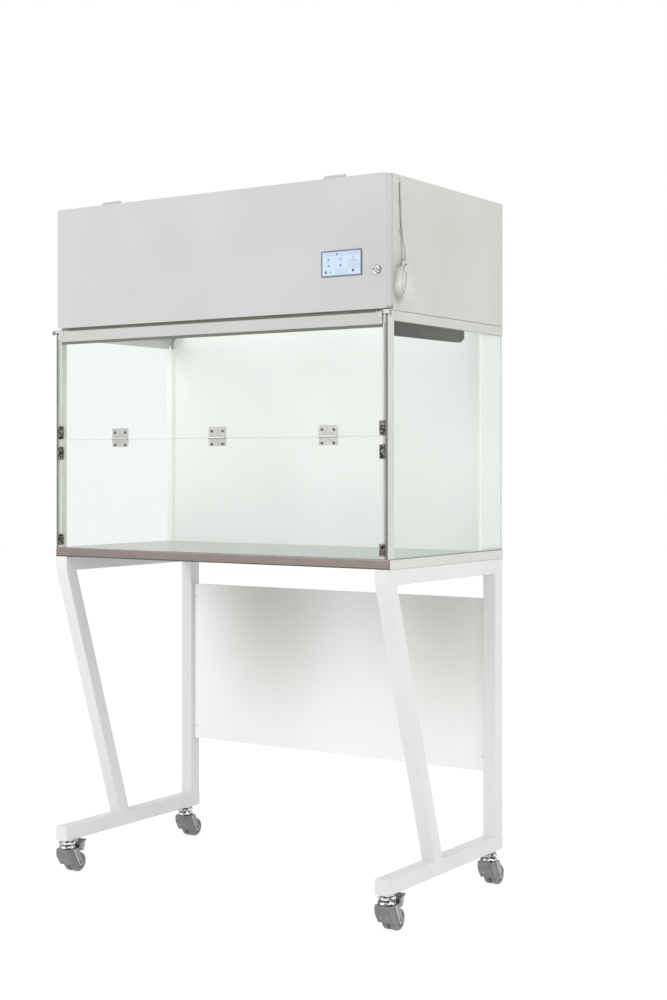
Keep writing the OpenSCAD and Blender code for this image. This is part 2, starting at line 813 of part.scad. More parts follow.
// Hollow rear wall that closes the chamber from the worktop to the ceiling
module rear_wall() {
    x1 = glass_x - fit;
    x2 = inner_x - 0.5;
    x3 = hx - floor_flange - 4;
    strip_w = 16;
    strip_out = 10;
    color("white") difference() {
        union() {
            block([-x1, wall_y, z_work], [x1, hood_d, z_rail]);
            block([-x2, wall_y, z_rail - 1], [x2, hood_d, z_shell]);
            // Front sheet goes on to the ceiling between the floor flanges
            block([-x3, wall_y, z_shell - 1], [x3, wall_y + sheet_t, ceiling_z]);
            // Slim strips in the chamber's rear corners
            for (s = [0, 1]) mirrored_if(s == 1) along_z(z_work, z_rail, [
                [x1 - strip_w, wall_y + 1], [x1 - strip_w + 3, wall_y - strip_out], [x1, wall_y - strip_out],
                [x1, wall_y + 1]]);
        }
        block([-x1 + sheet_t, wall_y + sheet_t, z_work + sheet_t],
            [x1 - sheet_t, hood_d - sheet_t, z_rail - sheet_t]);
        block([-x2 + sheet_t, wall_y + sheet_t, z_work + sheet_t],
            [x2 - sheet_t, hood_d - sheet_t, z_shell + 1]);
    }
}

// ---- worktop ----

module worktop() {
    skin = 2;
    color("lightsteelblue") difference() {
        block([-hx, strip_d, z_work - worktop_t], [hx, hood_d, z_work]);
        // Hollow under the skin, between stiffeners that stand on the frame
        for (k = [0:2]) let (w = (hood_d - strip_d - 4 * tube) / 3, y = strip_d + tube + k * (w + tube))
            block([-hx + tube, y, z_work - worktop_t - 1], [hx - tube, y + w, z_work - skin]);
        rod_z(z_work - worktop_t - 1, z_work + 1, port_x, port_y, port_r);
    }
}

module edge_strip() {
    color("rosybrown") along_x(-hx, hx, concat(
        [[0, z_work - worktop_t], [strip_d, z_work - worktop_t], [strip_d, z_work]],
        arc(2.5, z_work - 2.5, 2.5, 90, 180, 4)));
}

module port_plug() {
    color("lightgray") translate([port_x, port_y, 0]) {
        rod_z(z_work, z_work + 1.5, 0, 0, port_r + 3);
        difference() {
            rod_z(z_work - worktop_t + 5, z_work, 0, 0, port_r - fit);
            rod_z(z_work - worktop_t + 4, z_work - 3, 0, 0, port_r - 4);
        }
    }
}

// ---- stand ----

module side_frame(left) {
    z_low = z_base + tube;
    lean = leg_run / (z_beam - z_low);
    leg_w = tube * sqrt(1 + lean * lean);
    color("white") mirrored_if(left) difference() {
        translate([frame_x, 0, 0]) {
            for (z = [z_base, z_beam]) translate([0, 0, z])
                along_y(0, hood_d, round_box(tube, tube, tube_r, 3));
            along_z(z_low - tube_r, z_beam + tube_r,
                [for (p = round_box(tube, tube, tube_r, 3)) p + [0, hood_d - tube]]);
            // Slanted front leg, a sheared tube so that its ends are level
            multmatrix([[1, 0, 0, 0], [0, 1, -lean, lean * z_beam], [0, 0, 1, 0]])
                along_z(z_low - tube_r, z_beam + tube_r, round_box(tube, leg_w, tube_r, 3));
        }
        for (c = [1, 3])
            rod_z(z_base - 1, z_base + stem_l + 0.5, caster_at[c][0], caster_at[c][1], stem_r + run);
    }
}

module modesty_panel() {
    x1 = frame_x - fit;
    y0 = hood_d - tube + panel_fold;
    z1 = z_work - worktop_t - panel_drop;
    color("whitesmoke") difference() {
        along_y(y0, y0 + panel_fold,
            [for (p = round_box(2 * x1, panel_h, 3, 3)) p + [-x1, z1 - panel_h]]);
        block([-x1 + sheet_t, y0 + sheet_t, z1 - panel_h + sheet_t],
            [x1 - sheet_t, y0 + panel_fold + 1, z1 - sheet_t]);
    }
}

// ---- casters, drawn round the swivel axis, trailing towards the back ----

module at_caster(i) {
    translate([caster_at[i][0], caster_at[i][1], 0]) children();
}

module caster_head() {
    color("silver") rotate_extrude($fn = 64) polygon(concat(
        [[0, caster_h + stem_l], [stem_r, caster_h + stem_l], [stem_r, caster_h], [19, caster_h],
            [19, caster_h - 2.5], [17, caster_h - 4]],
        arc(race_r - 4.5, caster_h - 9, 4.5, 80, -80, 6), [[17, caster_h - 14.5]],
        arc(race_r - 5, head_z + 5, 4.5, 80, -60, 6),
        [[stem_r, head_z], [stem_r, head_z - 6], [8.5, head_z - 6], [8.5, head_z - 8], [0, head_z - 8]]));
}

// Outline of the fork in Y and Z
fork_side = concat(
    [[-20, fork_top], [-22, 59], [-20, 47], [-4.8, 23], [10, 19.5]],
    arc(caster_trail, wheel_r, axle_boss, 250, 400, 8),
    [[20, fork_top]]
);
fork_hollow = [[-19, fork_top - fork_plate], [-19.5, 59], [-17.4, 47.5], [-2.2, 23.6], [-2.2, 0],
    [65, 0], [65, fork_top - fork_plate]];
// Raised side plate of the fork, its front edge straight from the race down to the axle
wing_t = 1.5;
fork_wing = concat([[1, fork_top - 0.5]], arc(caster_trail, wheel_r, axle_boss, 207, 400, 8),
    [[19, fork_top - 0.5]]);

module caster_fork(braked) {
    out = cheek_x + cheek_t;
    color("gray") {
        difference() {
            union() {
                along_x(-out, out, fork_side);
                for (s = [0, 1]) mirrored_if(s == 1) along_x(out - eps, out + wing_t, fork_wing);
                if (braked) for (s = [-1, 1]) translate([s * (cheek_x + cheek_t / 2), 0, 0])
                    along_x(-cheek_t / 2, cheek_t / 2, concat([[12, 56], [28, 56]],
                        arc(brake_y, brake_z, 4.5, -20, 200, 8)));
            }
            along_x(-cheek_x, cheek_x, fork_hollow);
            rod_z(fork_top - fork_plate - 1, fork_top + 1, 0, 0, stem_r + run);
            // Room for the brake lever between the lugs
            if (braked) block([-cheek_x, 23, 50], [cheek_x, 60, 80]);
        }
        rod_x(-out - wing_t, out + wing_t, caster_trail, wheel_r, axle_r);
        for (s = [0, 1]) mirrored_if(s == 1)
            rod_x(out + wing_t - eps, out + wing_t + 1.5, caster_trail, wheel_r, axle_r + 1.6);
        if (braked) rod_x(-out, out, brake_y, brake_z, brake_pin_r);
    }
}

module caster_wheels() {
    color("darkgray") translate([0, caster_trail, wheel_r]) for (s = [-1, 1])
        translate([s * (wheel_split + wheel_w) / 2, 0, 0]) rotate([0, s * 90, 0])
            rotate_extrude($fn = 72) polygon(concat(
                [[axle_r + run, -wheel_w / 2], [wheel_r - 4, -wheel_w / 2]],
                arc(wheel_r - 4, -wheel_w / 2 + 4, 4, -60, 0, 3),
                arc(wheel_r - 4, wheel_w / 2 - 4, 4, 0, 90, 4),
                [[wheel_r - 8, wheel_w / 2], [wheel_r - 9, wheel_w / 2 - 2.5],
                    [axle_r + 6, wheel_w / 2 - 2.5],
                    [axle_r + 5, wheel_w / 2], [axle_r + run, wheel_w / 2]]));
}

// Outline of the lever's shoe, which stays clear of the treads until it is pressed
shoe_side = [for (p = [[7, 72], [11, 57.5], [15, 55.1], [20, 57], [24, 68], [26, 82], [4, 76]])
    p + [brake_y, 0]];

module brake_lever() {
    half = cheek_x - 0.5;
    color("lightgray") difference() {
        union() {
            rod_x(-half, half, brake_y, brake_z, 4.2);
            along_x(-half, half, [[brake_y, brake_z + 1], [brake_y + 27, 81.5], [brake_y + 29.5, 84],
                [brake_y + 28, 86.5], [brake_y - 1, brake_z + 4.1]]);
            // Shoe that comes down towards the treads
            along_x(-half + 3, half - 3, shoe_side);
        }
        rod_x(-half - 1, half + 1, brake_y, brake_z, brake_pin_r + run);
    }
}

// ---- service socket on the right side ----

// Outline of the socket's body, shrunk by an inset
function socket_side(inset) = drop(socket_y + socket_w / 2,
    socket_z + socket_w / 2, socket_w / 2 - inset, socket_z + socket_h - 28, 20 - inset);

module socket_base() {
    mid = socket_y + socket_w / 2;
    well_z = socket_z + 34;
    color("gainsboro") {
        difference() {
            union() {
                along_x(hx, hx + socket_d, socket_side(0));
                rod_z(socket_z + 60, gland_z, gland_x, gland_y, lead_r + 3);
            }
            rod_x(hx + socket_d - well_d, hx + socket_d + 1, mid, well_z, well_r);
            for (s = [-1, 1]) rod_x(hx + 3, hx + socket_d, mid + s * 9.5, well_z, 2.4);
        }
        // Lugs and pin of the lid's hinge
        for (y = [mid - 14, mid + 8]) difference() {
            block([hx + socket_d - 6, y, lid_axis_z - 12], [lid_axis_x + 3, y + 6, lid_axis_z + 3]);
            block([hx + socket_d, y - 1, lid_axis_z - 13], [lid_axis_x + 4, y + 7, lid_axis_z - 3]);
        }
        rod_y(mid - 13, mid + 13, lid_axis_x, lid_axis_z, lid_pin_r);
    }
}

module socket_lid() {
    x0 = hx + socket_d + 0.4;
    x1 = x0 + 3.6;
    mid = socket_y + socket_w / 2;
    ring_y = socket_y + 19;
    ring_z = lid_axis_z - 17;
    barrel = 7.6;
    color("gainsboro") difference() {
        union() {
            along_x(x0, x1, socket_side(2));
            // Hinge barrel between the lugs
            rod_y(mid - barrel, mid + barrel, lid_axis_x, lid_axis_z, 3.4);
            block([x0, mid - barrel, lid_axis_z - 8], [lid_axis_x + 1, mid + barrel, lid_axis_z]);
            // Grip rib: a round boss, a waist and a lip that flares out at the bottom
            rod_x(x1 - eps, x1 + 3.4, ring_y, ring_z, 11);
            along_x(x1 - eps, x1 + 2.6, [[ring_y - 6, ring_z], [ring_y + 6, ring_z],
                [ring_y + 5, ring_z - 24], [ring_y + 17, socket_z], [ring_y - 14, socket_z],
                [ring_y - 5, ring_z - 24]]);
            along_y(ring_y - 14, ring_y + 17,
                [[x0 + 1, socket_z - 1], [hx + socket_proud, socket_z - 6], [hx + socket_proud, socket_z - 3],
                    [x1 + 1, socket_z + 10]]);
        }
        rod_y(socket_y, socket_y + socket_w, lid_axis_x, lid_axis_z, lid_pin_r + run);
        for (s = [-1, 1]) rod_x(x1 + 2.2, x1 + 5, ring_y + s * 4, ring_z - s * 2, 1.6);
    }
}

// Ring of points round a route's point, square to the way it runs
function unit(v) = v / norm(v);
function route_dir(p, i) = unit(p[min(i + 1, len(p) - 1)] - p[max(i - 1, 0)]);
function ring(c, d, r, n) = let (u = unit(cross(d, [0, 1, 0])), v = cross(d, u))
    [for (k = [0:n - 1]) c + r * (cos(k * 360 / n) * u + sin(k * 360 / n) * v)];

module swept_tube(p, r, n) {
    last = len(p) - 1;
    points = [for (i = [0:last]) each ring(p[i], route_dir(p, i), r, n)];
    sides = [for (i = [0:last - 1], k = [0:n - 1])
        [i * n + k, i * n + (k + 1) % n, (i + 1) * n + (k + 1) % n, (i + 1) * n + k]];
    ends = [[for (k = [n - 1:-1:0]) k], [for (k = [0:n - 1]) last * n + k]];
    polyhedron(points, concat(sides, ends), convexity = 4);
}

module side_lead() {
    color("whitesmoke") swept_tube(lead_route, lead_r, 12);
}

// ---- nodes ----

place() housing_shell();
place() front_frame();
place() side_rail(true);  // side_rail_left
place() side_rail(false);  // side_rail_right
place() front_cover();
place() cover_hinge_fixed();
place() cover_hinge_moving();
place() lock_body();
place() lock_cam();
place() screen_bezel();
place() screen_display();
place() prefilter_grille();
place() prefilter_mat();
place() fan_deck();
place() fan_motor();
place() fan_impeller();
place() filter_frame();
place() filter_pack();
place() air_diffuser();
place() wiring_cover();
place() lamp_tube();
place() control_box();
place() header_rail();
place() pivot_pins();
place() upper_pane();
place() lower_pane();
place() pane_hinge(true);  // pane_hinge_upper
place() pane_hinge(false);  // pane_hinge_lower
place() leaf_screws(1);  // upper_leaf_screws
place() leaf_screws(-1);  // lower_leaf_screws
place() upper_catches();
place() lower_catches();
place() front_post(true);  // front_post_left
place() front_post(false);  // front_post_right
place() side_glass(true);  // side_glass_left
place() side_glass(false);  // side_glass_right
place() rear_wall();
place() worktop();
place() edge_strip();
place() port_plug();
place() side_frame(true);  // side_frame_left
place() side_frame(false);  // side_frame_right
place() modesty_panel();
for (i = [0:3]) {
    place() at_caster(i) caster_head();
    place() at_caster(i) caster_fork(i < 2);
    place() at_caster(i) caster_wheels();
}
for (i = [0:1])
    place() at_caster(i) brake_lever();
place() socket_base();
place() socket_lid();
place() side_lead();
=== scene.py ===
"""Dresses a vertical laminar flow hood on its wheeled stand for rendering."""

import sys
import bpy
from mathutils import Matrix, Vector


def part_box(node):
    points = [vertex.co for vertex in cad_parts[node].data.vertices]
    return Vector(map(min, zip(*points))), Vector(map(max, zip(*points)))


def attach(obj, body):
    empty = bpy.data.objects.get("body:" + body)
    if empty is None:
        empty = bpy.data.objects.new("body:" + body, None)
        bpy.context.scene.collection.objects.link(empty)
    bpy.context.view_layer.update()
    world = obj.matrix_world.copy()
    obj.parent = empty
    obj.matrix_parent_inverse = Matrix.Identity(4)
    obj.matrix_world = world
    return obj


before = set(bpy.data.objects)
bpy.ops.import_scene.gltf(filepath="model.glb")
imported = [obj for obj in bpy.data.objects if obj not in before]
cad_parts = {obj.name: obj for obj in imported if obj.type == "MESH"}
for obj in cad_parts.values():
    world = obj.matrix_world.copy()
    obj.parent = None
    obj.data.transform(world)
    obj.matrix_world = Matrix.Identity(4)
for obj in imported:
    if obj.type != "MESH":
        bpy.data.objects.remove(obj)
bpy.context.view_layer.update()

import logging
import math
from abc import ABC, abstractmethod
from dataclasses import dataclass, field
from enum import Enum
from typing import Any, Sequence

import bmesh
import bpy
from mathutils import Vector

log = logging.getLogger("hood")
MM = 0.001
Point = Sequence[float]


class Axis(Enum):
    """A direction of the row frame, by its column."""

    X = 0
    Y = 1
    Z = 2

    @property
    def vector(self) -> Vector:
        """The unit vector along this axis."""
        return Vector([1.0 if i == self.value else 0.0 for i in range(3)])


def linear(code: str, alpha: float = 1.0) -> tuple[float, float, float, float]:
    """Turns an sRGB hex colour to linear light.

    Args:
        code: Six hex digits, with or without a leading mark.
        alpha: The fourth channel.

    Returns:
        Red, green, blue and alpha.
    """
    digits = code.lstrip("#")
    channels = [int(digits[i : i + 2], 16) / 255 for i in (0, 2, 4)]
    red, green, blue = [c / 12.92 if c <= 0.04045 else ((c + 0.055) / 1.055) ** 2.4 for c in channels]
    return red, green, blue, alpha


def add(tree: bpy.types.NodeTree, kind: str, inputs: dict[Any, Any] | None = None, **settings: Any) -> Any:
    """Adds a node with its settings and links.

    Args:
        tree: The node tree it joins.
        kind: The node's type name.
        inputs: Input name or index to a constant, or to an output socket to link.
        **settings: Attributes of the node itself.

    Returns:
        The new node.
    """
    node = tree.nodes.new(kind)
    for name, value in settings.items():
        setattr(node, name, value)
    for name, value in (inputs or {}).items():
        if isinstance(value, bpy.types.NodeSocket):
            tree.links.new(value, node.inputs[name])
        else:
            node.inputs[name].default_value = value
    return node


# ---- finishes ----


@dataclass(frozen=True)
class Finish(ABC):
    """A surface finish that makes one material, shared by all pieces that have it."""

    name: str
    colour: str
    roughness: float

    @abstractmethod
    def shade(self, tree: bpy.types.NodeTree) -> bpy.types.NodeSocket:
        """Builds the nodes and returns the shader socket for the surface."""

    def material(self) -> bpy.types.Material:
        """Returns the finish's material, made on first use."""
        found = bpy.data.materials.get(self.name)
        if found:
            return found
        made = bpy.data.materials.new(self.name)
        made.use_nodes = True
        tree = made.node_tree
        tree.nodes.clear()
        add(tree, "ShaderNodeOutputMaterial", {"Surface": self.shade(tree)})
        return made

    def pattern(self, tree: bpy.types.NodeTree, size_mm: float, stretch: Point = (1, 1, 1),
                detail: float = 2.0) -> bpy.types.NodeSocket:
        """Builds a noise whose cells have a real size.

        Args:
            tree: The node tree it joins.
            size_mm: Size of one cell in millimetres.
            stretch: How much longer a cell is along each axis.
            detail: Octaves of finer noise.

        Returns:
            The noise's grey output.
        """
        place = add(tree, "ShaderNodeTexCoord").outputs["Object"]
        scale = add(tree, "ShaderNodeMapping", {"Vector": place, "Scale": [1 / s for s in stretch]})
        noise = add(tree, "ShaderNodeTexNoise", {
            "Vector": scale.outputs["Vector"], "Scale": 1 / (size_mm * MM), "Detail": detail})
        return noise.outputs["Fac"]

    def between(self, tree: bpy.types.NodeTree, factor: bpy.types.NodeSocket, low: str, high: str,
                start: float = 0.35, stop: float = 0.65) -> bpy.types.NodeSocket:
        """Blends two hex colours by a grey socket and returns the colour socket."""
        ramp = add(tree, "ShaderNodeValToRGB", {"Fac": factor})
        ramp.color_ramp.elements[0].position = start
        ramp.color_ramp.elements[0].color = linear(low)
        ramp.color_ramp.elements[1].position = stop
        ramp.color_ramp.elements[1].color = linear(high)
        return ramp.outputs["Color"]

    def spread(self, tree: bpy.types.NodeTree, factor: bpy.types.NodeSocket,
               low: float, high: float) -> bpy.types.NodeSocket:
        """Maps a grey socket's middle range to two numbers."""
        return add(tree, "ShaderNodeMapRange", {
            "Value": factor, "From Min": 0.3, "From Max": 0.7,
            "To Min": low, "To Max": high}).outputs["Result"]


@dataclass(frozen=True)
class PowderCoat(Finish):
    """Epoxy-polyester powder on sheet steel: even and satin, with a fine pebble that softens highlights."""

    second: str = ""
    pebble_mm: float = 1.6
    depth_mm: float = 0.03
    sheen_span: float = 0.06

    def shade(self, tree: bpy.types.NodeTree) -> bpy.types.NodeSocket:
        """Builds the coat: broad, faint clouding in colour and a pebble in relief."""
        cloud = self.pattern(tree, 260, detail=1)
        pebble = self.pattern(tree, self.pebble_mm)
        bump = add(tree, "ShaderNodeBump", {
            "Height": pebble, "Strength": 0.6, "Distance": self.depth_mm * MM})
        return add(tree, "ShaderNodeBsdfPrincipled", {
            "Base Color": self.between(tree, cloud, self.colour, self.second or self.colour),
            "Roughness": self.spread(tree, cloud, self.roughness - self.sheen_span, self.roughness),
            "IOR": 1.5, "Normal": bump.outputs["Normal"]}).outputs["BSDF"]


@dataclass(frozen=True)
class ReflectionBandCoat(PowderCoat):
    """Semi-gloss stoved enamel on a broad thin sheet, with the room's reflections painted into its colour as
    soft bands.

    Each wave of the pattern gives one light and one grey band: painted reflection and painted shade. They
    stand upright and fade towards the bottom.
    """

    wave_mm: float = 600.0
    shift_mm: float = 226.0
    top_m: float = 0.76
    bottom_m: float = 0.34

    def shade(self, tree: bpy.types.NodeTree) -> bpy.types.NodeSocket:
        """Builds the enamel: upright bands of painted reflection and painted shade in two tones that fade
        downwards, over a fine pebble.
        """
        own = add(tree, "ShaderNodeTexCoord").outputs["Object"]
        place = add(tree, "ShaderNodeSeparateXYZ", {"Vector": own})
        drift = self.pattern(tree, 160, (1, 1, 2), 1)
        wander = self.spread(tree, drift, -0.2, 0.2)
        turn = 2 * math.pi / (self.wave_mm * MM)
        angle = add(tree, "ShaderNodeMath", {
            0: place.outputs["X"], 1: turn, 2: -turn * self.shift_mm * MM}, operation="MULTIPLY_ADD")
        bent = add(tree, "ShaderNodeMath", {0: angle.outputs[0], 1: wander}, operation="ADD")
        wave = add(tree, "ShaderNodeMath", {0: bent.outputs[0]}, operation="SINE")
        fade = add(tree, "ShaderNodeMapRange", {
            "Value": place.outputs["Z"], "From Min": self.bottom_m, "From Max": self.top_m,
            "To Min": 0.15, "To Max": 1.0}, interpolation_type="SMOOTHSTEP")
        depth = add(tree, "ShaderNodeMath", {0: wave.outputs[0], 1: 0.5, 2: 0.5}, operation="MULTIPLY_ADD")
        share = add(tree, "ShaderNodeMath", {
            0: depth.outputs[0], 1: fade.outputs["Result"]}, operation="MULTIPLY")
        tone = self.between(tree, share.outputs[0], self.colour, self.second, 0.0, 1.0)
        pebble = self.pattern(tree, self.pebble_mm)
        bump = add(tree, "ShaderNodeBump", {
            "Height": pebble, "Strength": 0.5, "Distance": self.depth_mm * MM})
        return add(tree, "ShaderNodeBsdfPrincipled", {
            "Base Color": tone,
            "Roughness": self.spread(tree, drift, self.roughness, self.roughness + 0.1),
            "IOR": 1.5, "Normal": bump.outputs["Normal"]}).outputs["BSDF"]


@dataclass(frozen=True)
class PaintedShadeCoat(PowderCoat):
    """Dark satin coat with painted shade: darkest at the front and paler towards the back."""

    front_m: float = -0.27
    back_m: float = 0.12

    def shade(self, tree: bpy.types.NodeTree) -> bpy.types.NodeSocket:
        """Builds the coat: a slow fade of painted shade from front to back, broken up by faint dust."""
        place = add(tree, "ShaderNodeTexCoord").outputs["Object"]
        depth = add(tree, "ShaderNodeSeparateXYZ", {"Vector": place}).outputs["Y"]
        fade = add(tree, "ShaderNodeMapRange", {
            "Value": depth, "From Min": self.front_m, "From Max": self.back_m}).outputs["Result"]
        dust = self.spread(tree, self.pattern(tree, 14, detail=3), -0.06, 0.06)
        share = add(tree, "ShaderNodeMath", {0: fade, 1: dust}, operation="ADD").outputs[0]
        return add(tree, "ShaderNodeBsdfPrincipled", {
            "Base Color": self.between(tree, share, self.colour, self.second, 0.0, 1.0),
            "Roughness": self.spread(tree, dust, self.roughness - 0.06, self.roughness),
            "IOR": 1.12}).outputs["BSDF"]


@dataclass(frozen=True)
class BrushedSteel(Finish):
    """Stainless steel brushed with grit belts: long hairlines that stretch each reflection across them."""

    second: str = ""
    along: Axis = Axis.X
    grain_mm: float = 0.9
    length: float = 60.0
    depth_mm: float = 0.006

    def shade(self, tree: bpy.types.NodeTree) -> bpy.types.NodeSocket:
        """Builds the metal: hairlines in colour, gloss and relief, drawn coarser than the real grit."""
        stretch = [self.length if i == self.along.value else 1.0 for i in range(3)]
        hair = self.pattern(tree, self.grain_mm, stretch, 3)
        stain = self.pattern(tree, 90, detail=2)
        bump = add(tree, "ShaderNodeBump", {"Height": hair, "Strength": 0.5, "Distance": self.depth_mm * MM})
        tone = self.between(tree, hair, self.second or self.colour, self.colour, 0.3, 0.7)
        worn = add(tree, "ShaderNodeMix", {0: self.spread(tree, stain, 0.0, 0.12), 6: tone,
                                           7: linear(self.second or self.colour)}, data_type="RGBA")
        return add(tree, "ShaderNodeBsdfPrincipled", {
            "Base Color": worn.outputs[2], "Metallic": 1.0,
            "Roughness": self.spread(tree, hair, self.roughness - 0.07, self.roughness + 0.07),
            "Normal": bump.outputs["Normal"]}).outputs["BSDF"]


@dataclass(frozen=True)
class PlatedSteel(Finish):
    """Zinc or nickel plate on pressed steel: bright, with a faint cloudy bloom left by the bath. Where the
    two colours lie far apart with a sharp edge, the blotches are painted highlights and painted shade.
    """

    second: str = ""
    bloom_and_glint_mm: float = 7.0
    crisp: float = 0.15

    def shade(self, tree: bpy.types.NodeTree) -> bpy.types.NodeSocket:
        """Builds the plate: cloudy bloom in colour and gloss, which with far-apart colours paints highlight
        and shade spots.
        """
        bloom = self.pattern(tree, self.bloom_and_glint_mm, detail=3)
        return add(tree, "ShaderNodeBsdfPrincipled", {
            "Base Color": self.between(tree, bloom, self.second or self.colour, self.colour,
                                       0.5 - self.crisp, 0.5 + self.crisp),
            "Metallic": 1.0,
            "Roughness": self.spread(tree, bloom, self.roughness, self.roughness + 0.12)}).outputs["BSDF"]


@dataclass(frozen=True)
class MouldedPlastic(Finish):
    """Injection-moulded ABS or nylon: matt spark-eroded grain, a little glossier where hands rub it."""

    second: str = ""
    grain_mm: float = 0.8
    depth_mm: float = 0.012
    ior: float = 1.49

    def shade(self, tree: bpy.types.NodeTree) -> bpy.types.NodeSocket:
        """Builds the plastic: fine grain in relief and slow patches in gloss."""
        grain = self.pattern(tree, self.grain_mm)
        patch = self.pattern(tree, 35, detail=1)
        bump = add(tree, "ShaderNodeBump", {"Height": grain, "Strength": 0.5, "Distance": self.depth_mm * MM})
        return add(tree, "ShaderNodeBsdfPrincipled", {
            "Base Color": self.between(tree, patch, self.colour, self.second or self.colour),
            "Roughness": self.spread(tree, patch, self.roughness - 0.08, self.roughness + 0.04),
            "IOR": self.ior, "Normal": bump.outputs["Normal"]}).outputs["BSDF"]


@dataclass(frozen=True)
class CasterWheel(Finish):
    """Polypropylene wheel with a soft tread: satin at the hub, dull and dusty where it rolls.

    The tread is told from the hub by the surface's own normal.
    """

    tread: str = "#7F7F7E"
    dust: str = "#8D8D8B"

    def shade(self, tree: bpy.types.NodeTree) -> bpy.types.NodeSocket:
        """Builds both surfaces: dust in patches on the tread and fine scuffs all over."""
        normal = add(tree, "ShaderNodeNewGeometry").outputs["Normal"]
        parts = add(tree, "ShaderNodeSeparateXYZ", {"Vector": normal})
        side = add(tree, "ShaderNodeMath", {0: parts.outputs["X"]}, operation="ABSOLUTE")
        rolling = add(tree, "ShaderNodeMath", {0: side.outputs[0], 1: 0.75}, operation="LESS_THAN")
        dust = self.pattern(tree, 4, detail=5)
        scuff = self.pattern(tree, 0.7, (6, 1, 1), 2)
        bump = add(tree, "ShaderNodeBump", {"Height": scuff, "Strength": 0.6, "Distance": 0.03 * MM})
        tone = add(tree, "ShaderNodeMix", {
            0: rolling.outputs[0], 6: self.between(tree, dust, self.colour, self.dust, 0.4, 1.2),
            7: self.between(tree, dust, self.tread, self.dust, 0.45, 0.85)}, data_type="RGBA")
        return add(tree, "ShaderNodeBsdfPrincipled", {
            "Base Color": tone.outputs[2],
            "Roughness": self.spread(tree, dust, self.roughness - 0.1, self.roughness),
            "IOR": 1.5, "Normal": bump.outputs["Normal"]}).outputs["BSDF"]


@dataclass(frozen=True)
class FloatGlass(Finish):
    """Toughened float glass with ground edges: clear on its faces, sea green and frosted at its edges.

    The edge is told from the face by the pane's own normal, so it needs no second mesh.
    """

    edge: str = "#86A596"
    face_axis: Axis = Axis.Y
    ior: float = 1.5

    def shade(self, tree: bpy.types.NodeTree) -> bpy.types.NodeSocket:
        """Builds the glass: lets lamps through unshadowed, and turns frosted green at the edges."""
        normal = add(tree, "ShaderNodeNewGeometry").outputs["True Normal"]
        own = add(tree, "ShaderNodeVectorTransform", {"Vector": normal}, vector_type="NORMAL",
                  convert_from="WORLD", convert_to="OBJECT")
        parts = add(tree, "ShaderNodeSeparateXYZ", {"Vector": own.outputs["Vector"]})
        face = add(tree, "ShaderNodeMath", {0: parts.outputs[self.face_axis.value]}, operation="ABSOLUTE")
        on_edge = add(tree, "ShaderNodeMath", {0: face.outputs[0], 1: 0.7}, operation="LESS_THAN")
        haze = self.pattern(tree, 60, detail=2)
        clear = add(tree, "ShaderNodeBsdfPrincipled", {
            "Base Color": linear(self.colour), "Roughness": self.spread(tree, haze, 0.0, self.roughness),
            "IOR": self.ior, "Transmission Weight": 1.0})
        ground = add(tree, "ShaderNodeBsdfPrincipled", {
            "Base Color": self.between(tree, haze, self.edge, self.colour, 0.3, 1.0),
            "Roughness": 0.35, "IOR": 1.5, "Transmission Weight": 0.35})
        slab = add(tree, "ShaderNodeMixShader", {
            0: on_edge.outputs[0], 1: clear.outputs["BSDF"], 2: ground.outputs["BSDF"]})
        open_ray = add(tree, "ShaderNodeBsdfTransparent", {"Color": linear("#FCFDFC")})
        path = add(tree, "ShaderNodeLightPath")
        lit = add(tree, "ShaderNodeMath", {
            0: path.outputs["Is Shadow Ray"], 1: path.outputs["Is Diffuse Ray"]}, operation="MAXIMUM")
        return add(tree, "ShaderNodeMixShader", {
            0: lit.outputs[0], 1: slab.outputs[0], 2: open_ray.outputs[0]}).outputs[0]


@dataclass(frozen=True)
class LitPanel(Finish):
    """A backlit surface: a display's film or an opal lamp tube, even and softly glowing."""

    glow: float = 1.0
    grid_mm: float = 0.7

    def shade(self, tree: bpy.types.NodeTree) -> bpy.types.NodeSocket:
        """Builds the lit surface: a dark film with a faint cell pattern, under a steady glow."""
        cells = self.pattern(tree, self.grid_mm, detail=0)
        return add(tree, "ShaderNodeBsdfPrincipled", {
            "Base Color": self.between(tree, cells, "#26292D", "#2E3237"),
            "Roughness": self.roughness, "IOR": 1.5,
            "Emission Color": linear(self.colour), "Emission Strength": self.glow}).outputs["BSDF"]


@dataclass(frozen=True)
class FilterPaper(Finish):
    """Wet-laid glass-fibre paper: soft and dull, with stray fibres on its surface."""

    fibre_mm: float = 0.9

    def shade(self, tree: bpy.types.NodeTree) -> bpy.types.NodeSocket:
        """Builds the paper: long fibres in relief and tone."""
        fibre = self.pattern(tree, self.fibre_mm, (1, 12, 4), 3)
        bump = add(tree, "ShaderNodeBump", {"Height": fibre, "Strength": 0.7, "Distance": 0.1 * MM})
        return add(tree, "ShaderNodeBsdfPrincipled", {
            "Base Color": self.between(tree, fibre, "#D9D9D2", self.colour),
            "Roughness": self.roughness, "IOR": 1.45, "Sheen Weight": 0.2,
            "Normal": bump.outputs["Normal"]}).outputs["BSDF"]


# Light grey powder coat, cured in an oven: even and satin, so broad faces show only faint clouding.
SHELL = PowderCoat("shell_powder_coat", "#C9CAC4", 0.5, "#C5C6BF")
COVER = PowderCoat("cover_powder_coat", "#C4C4C5", 0.48, "#C0C0C0")
RAIL = PowderCoat("rail_powder_coat", "#C9CAC4", 0.5, "#C5C6BF")
HEADER = PowderCoat("header_powder_coat", "#C2C2C1", 0.5, "#BDBDBC")
POST = PowderCoat("post_powder_coat", "#CFD0C9", 0.42, "#CBCCC5", 0.9, 0.012)
INNER = PowderCoat("chamber_powder_coat", "#F0F2F1", 0.5, "#ECEEED", 0.9, 0.012)
STAND = PowderCoat("stand_powder_coat", "#E2E2E1", 0.42, "#DEDEDD", 1.1, 0.02)
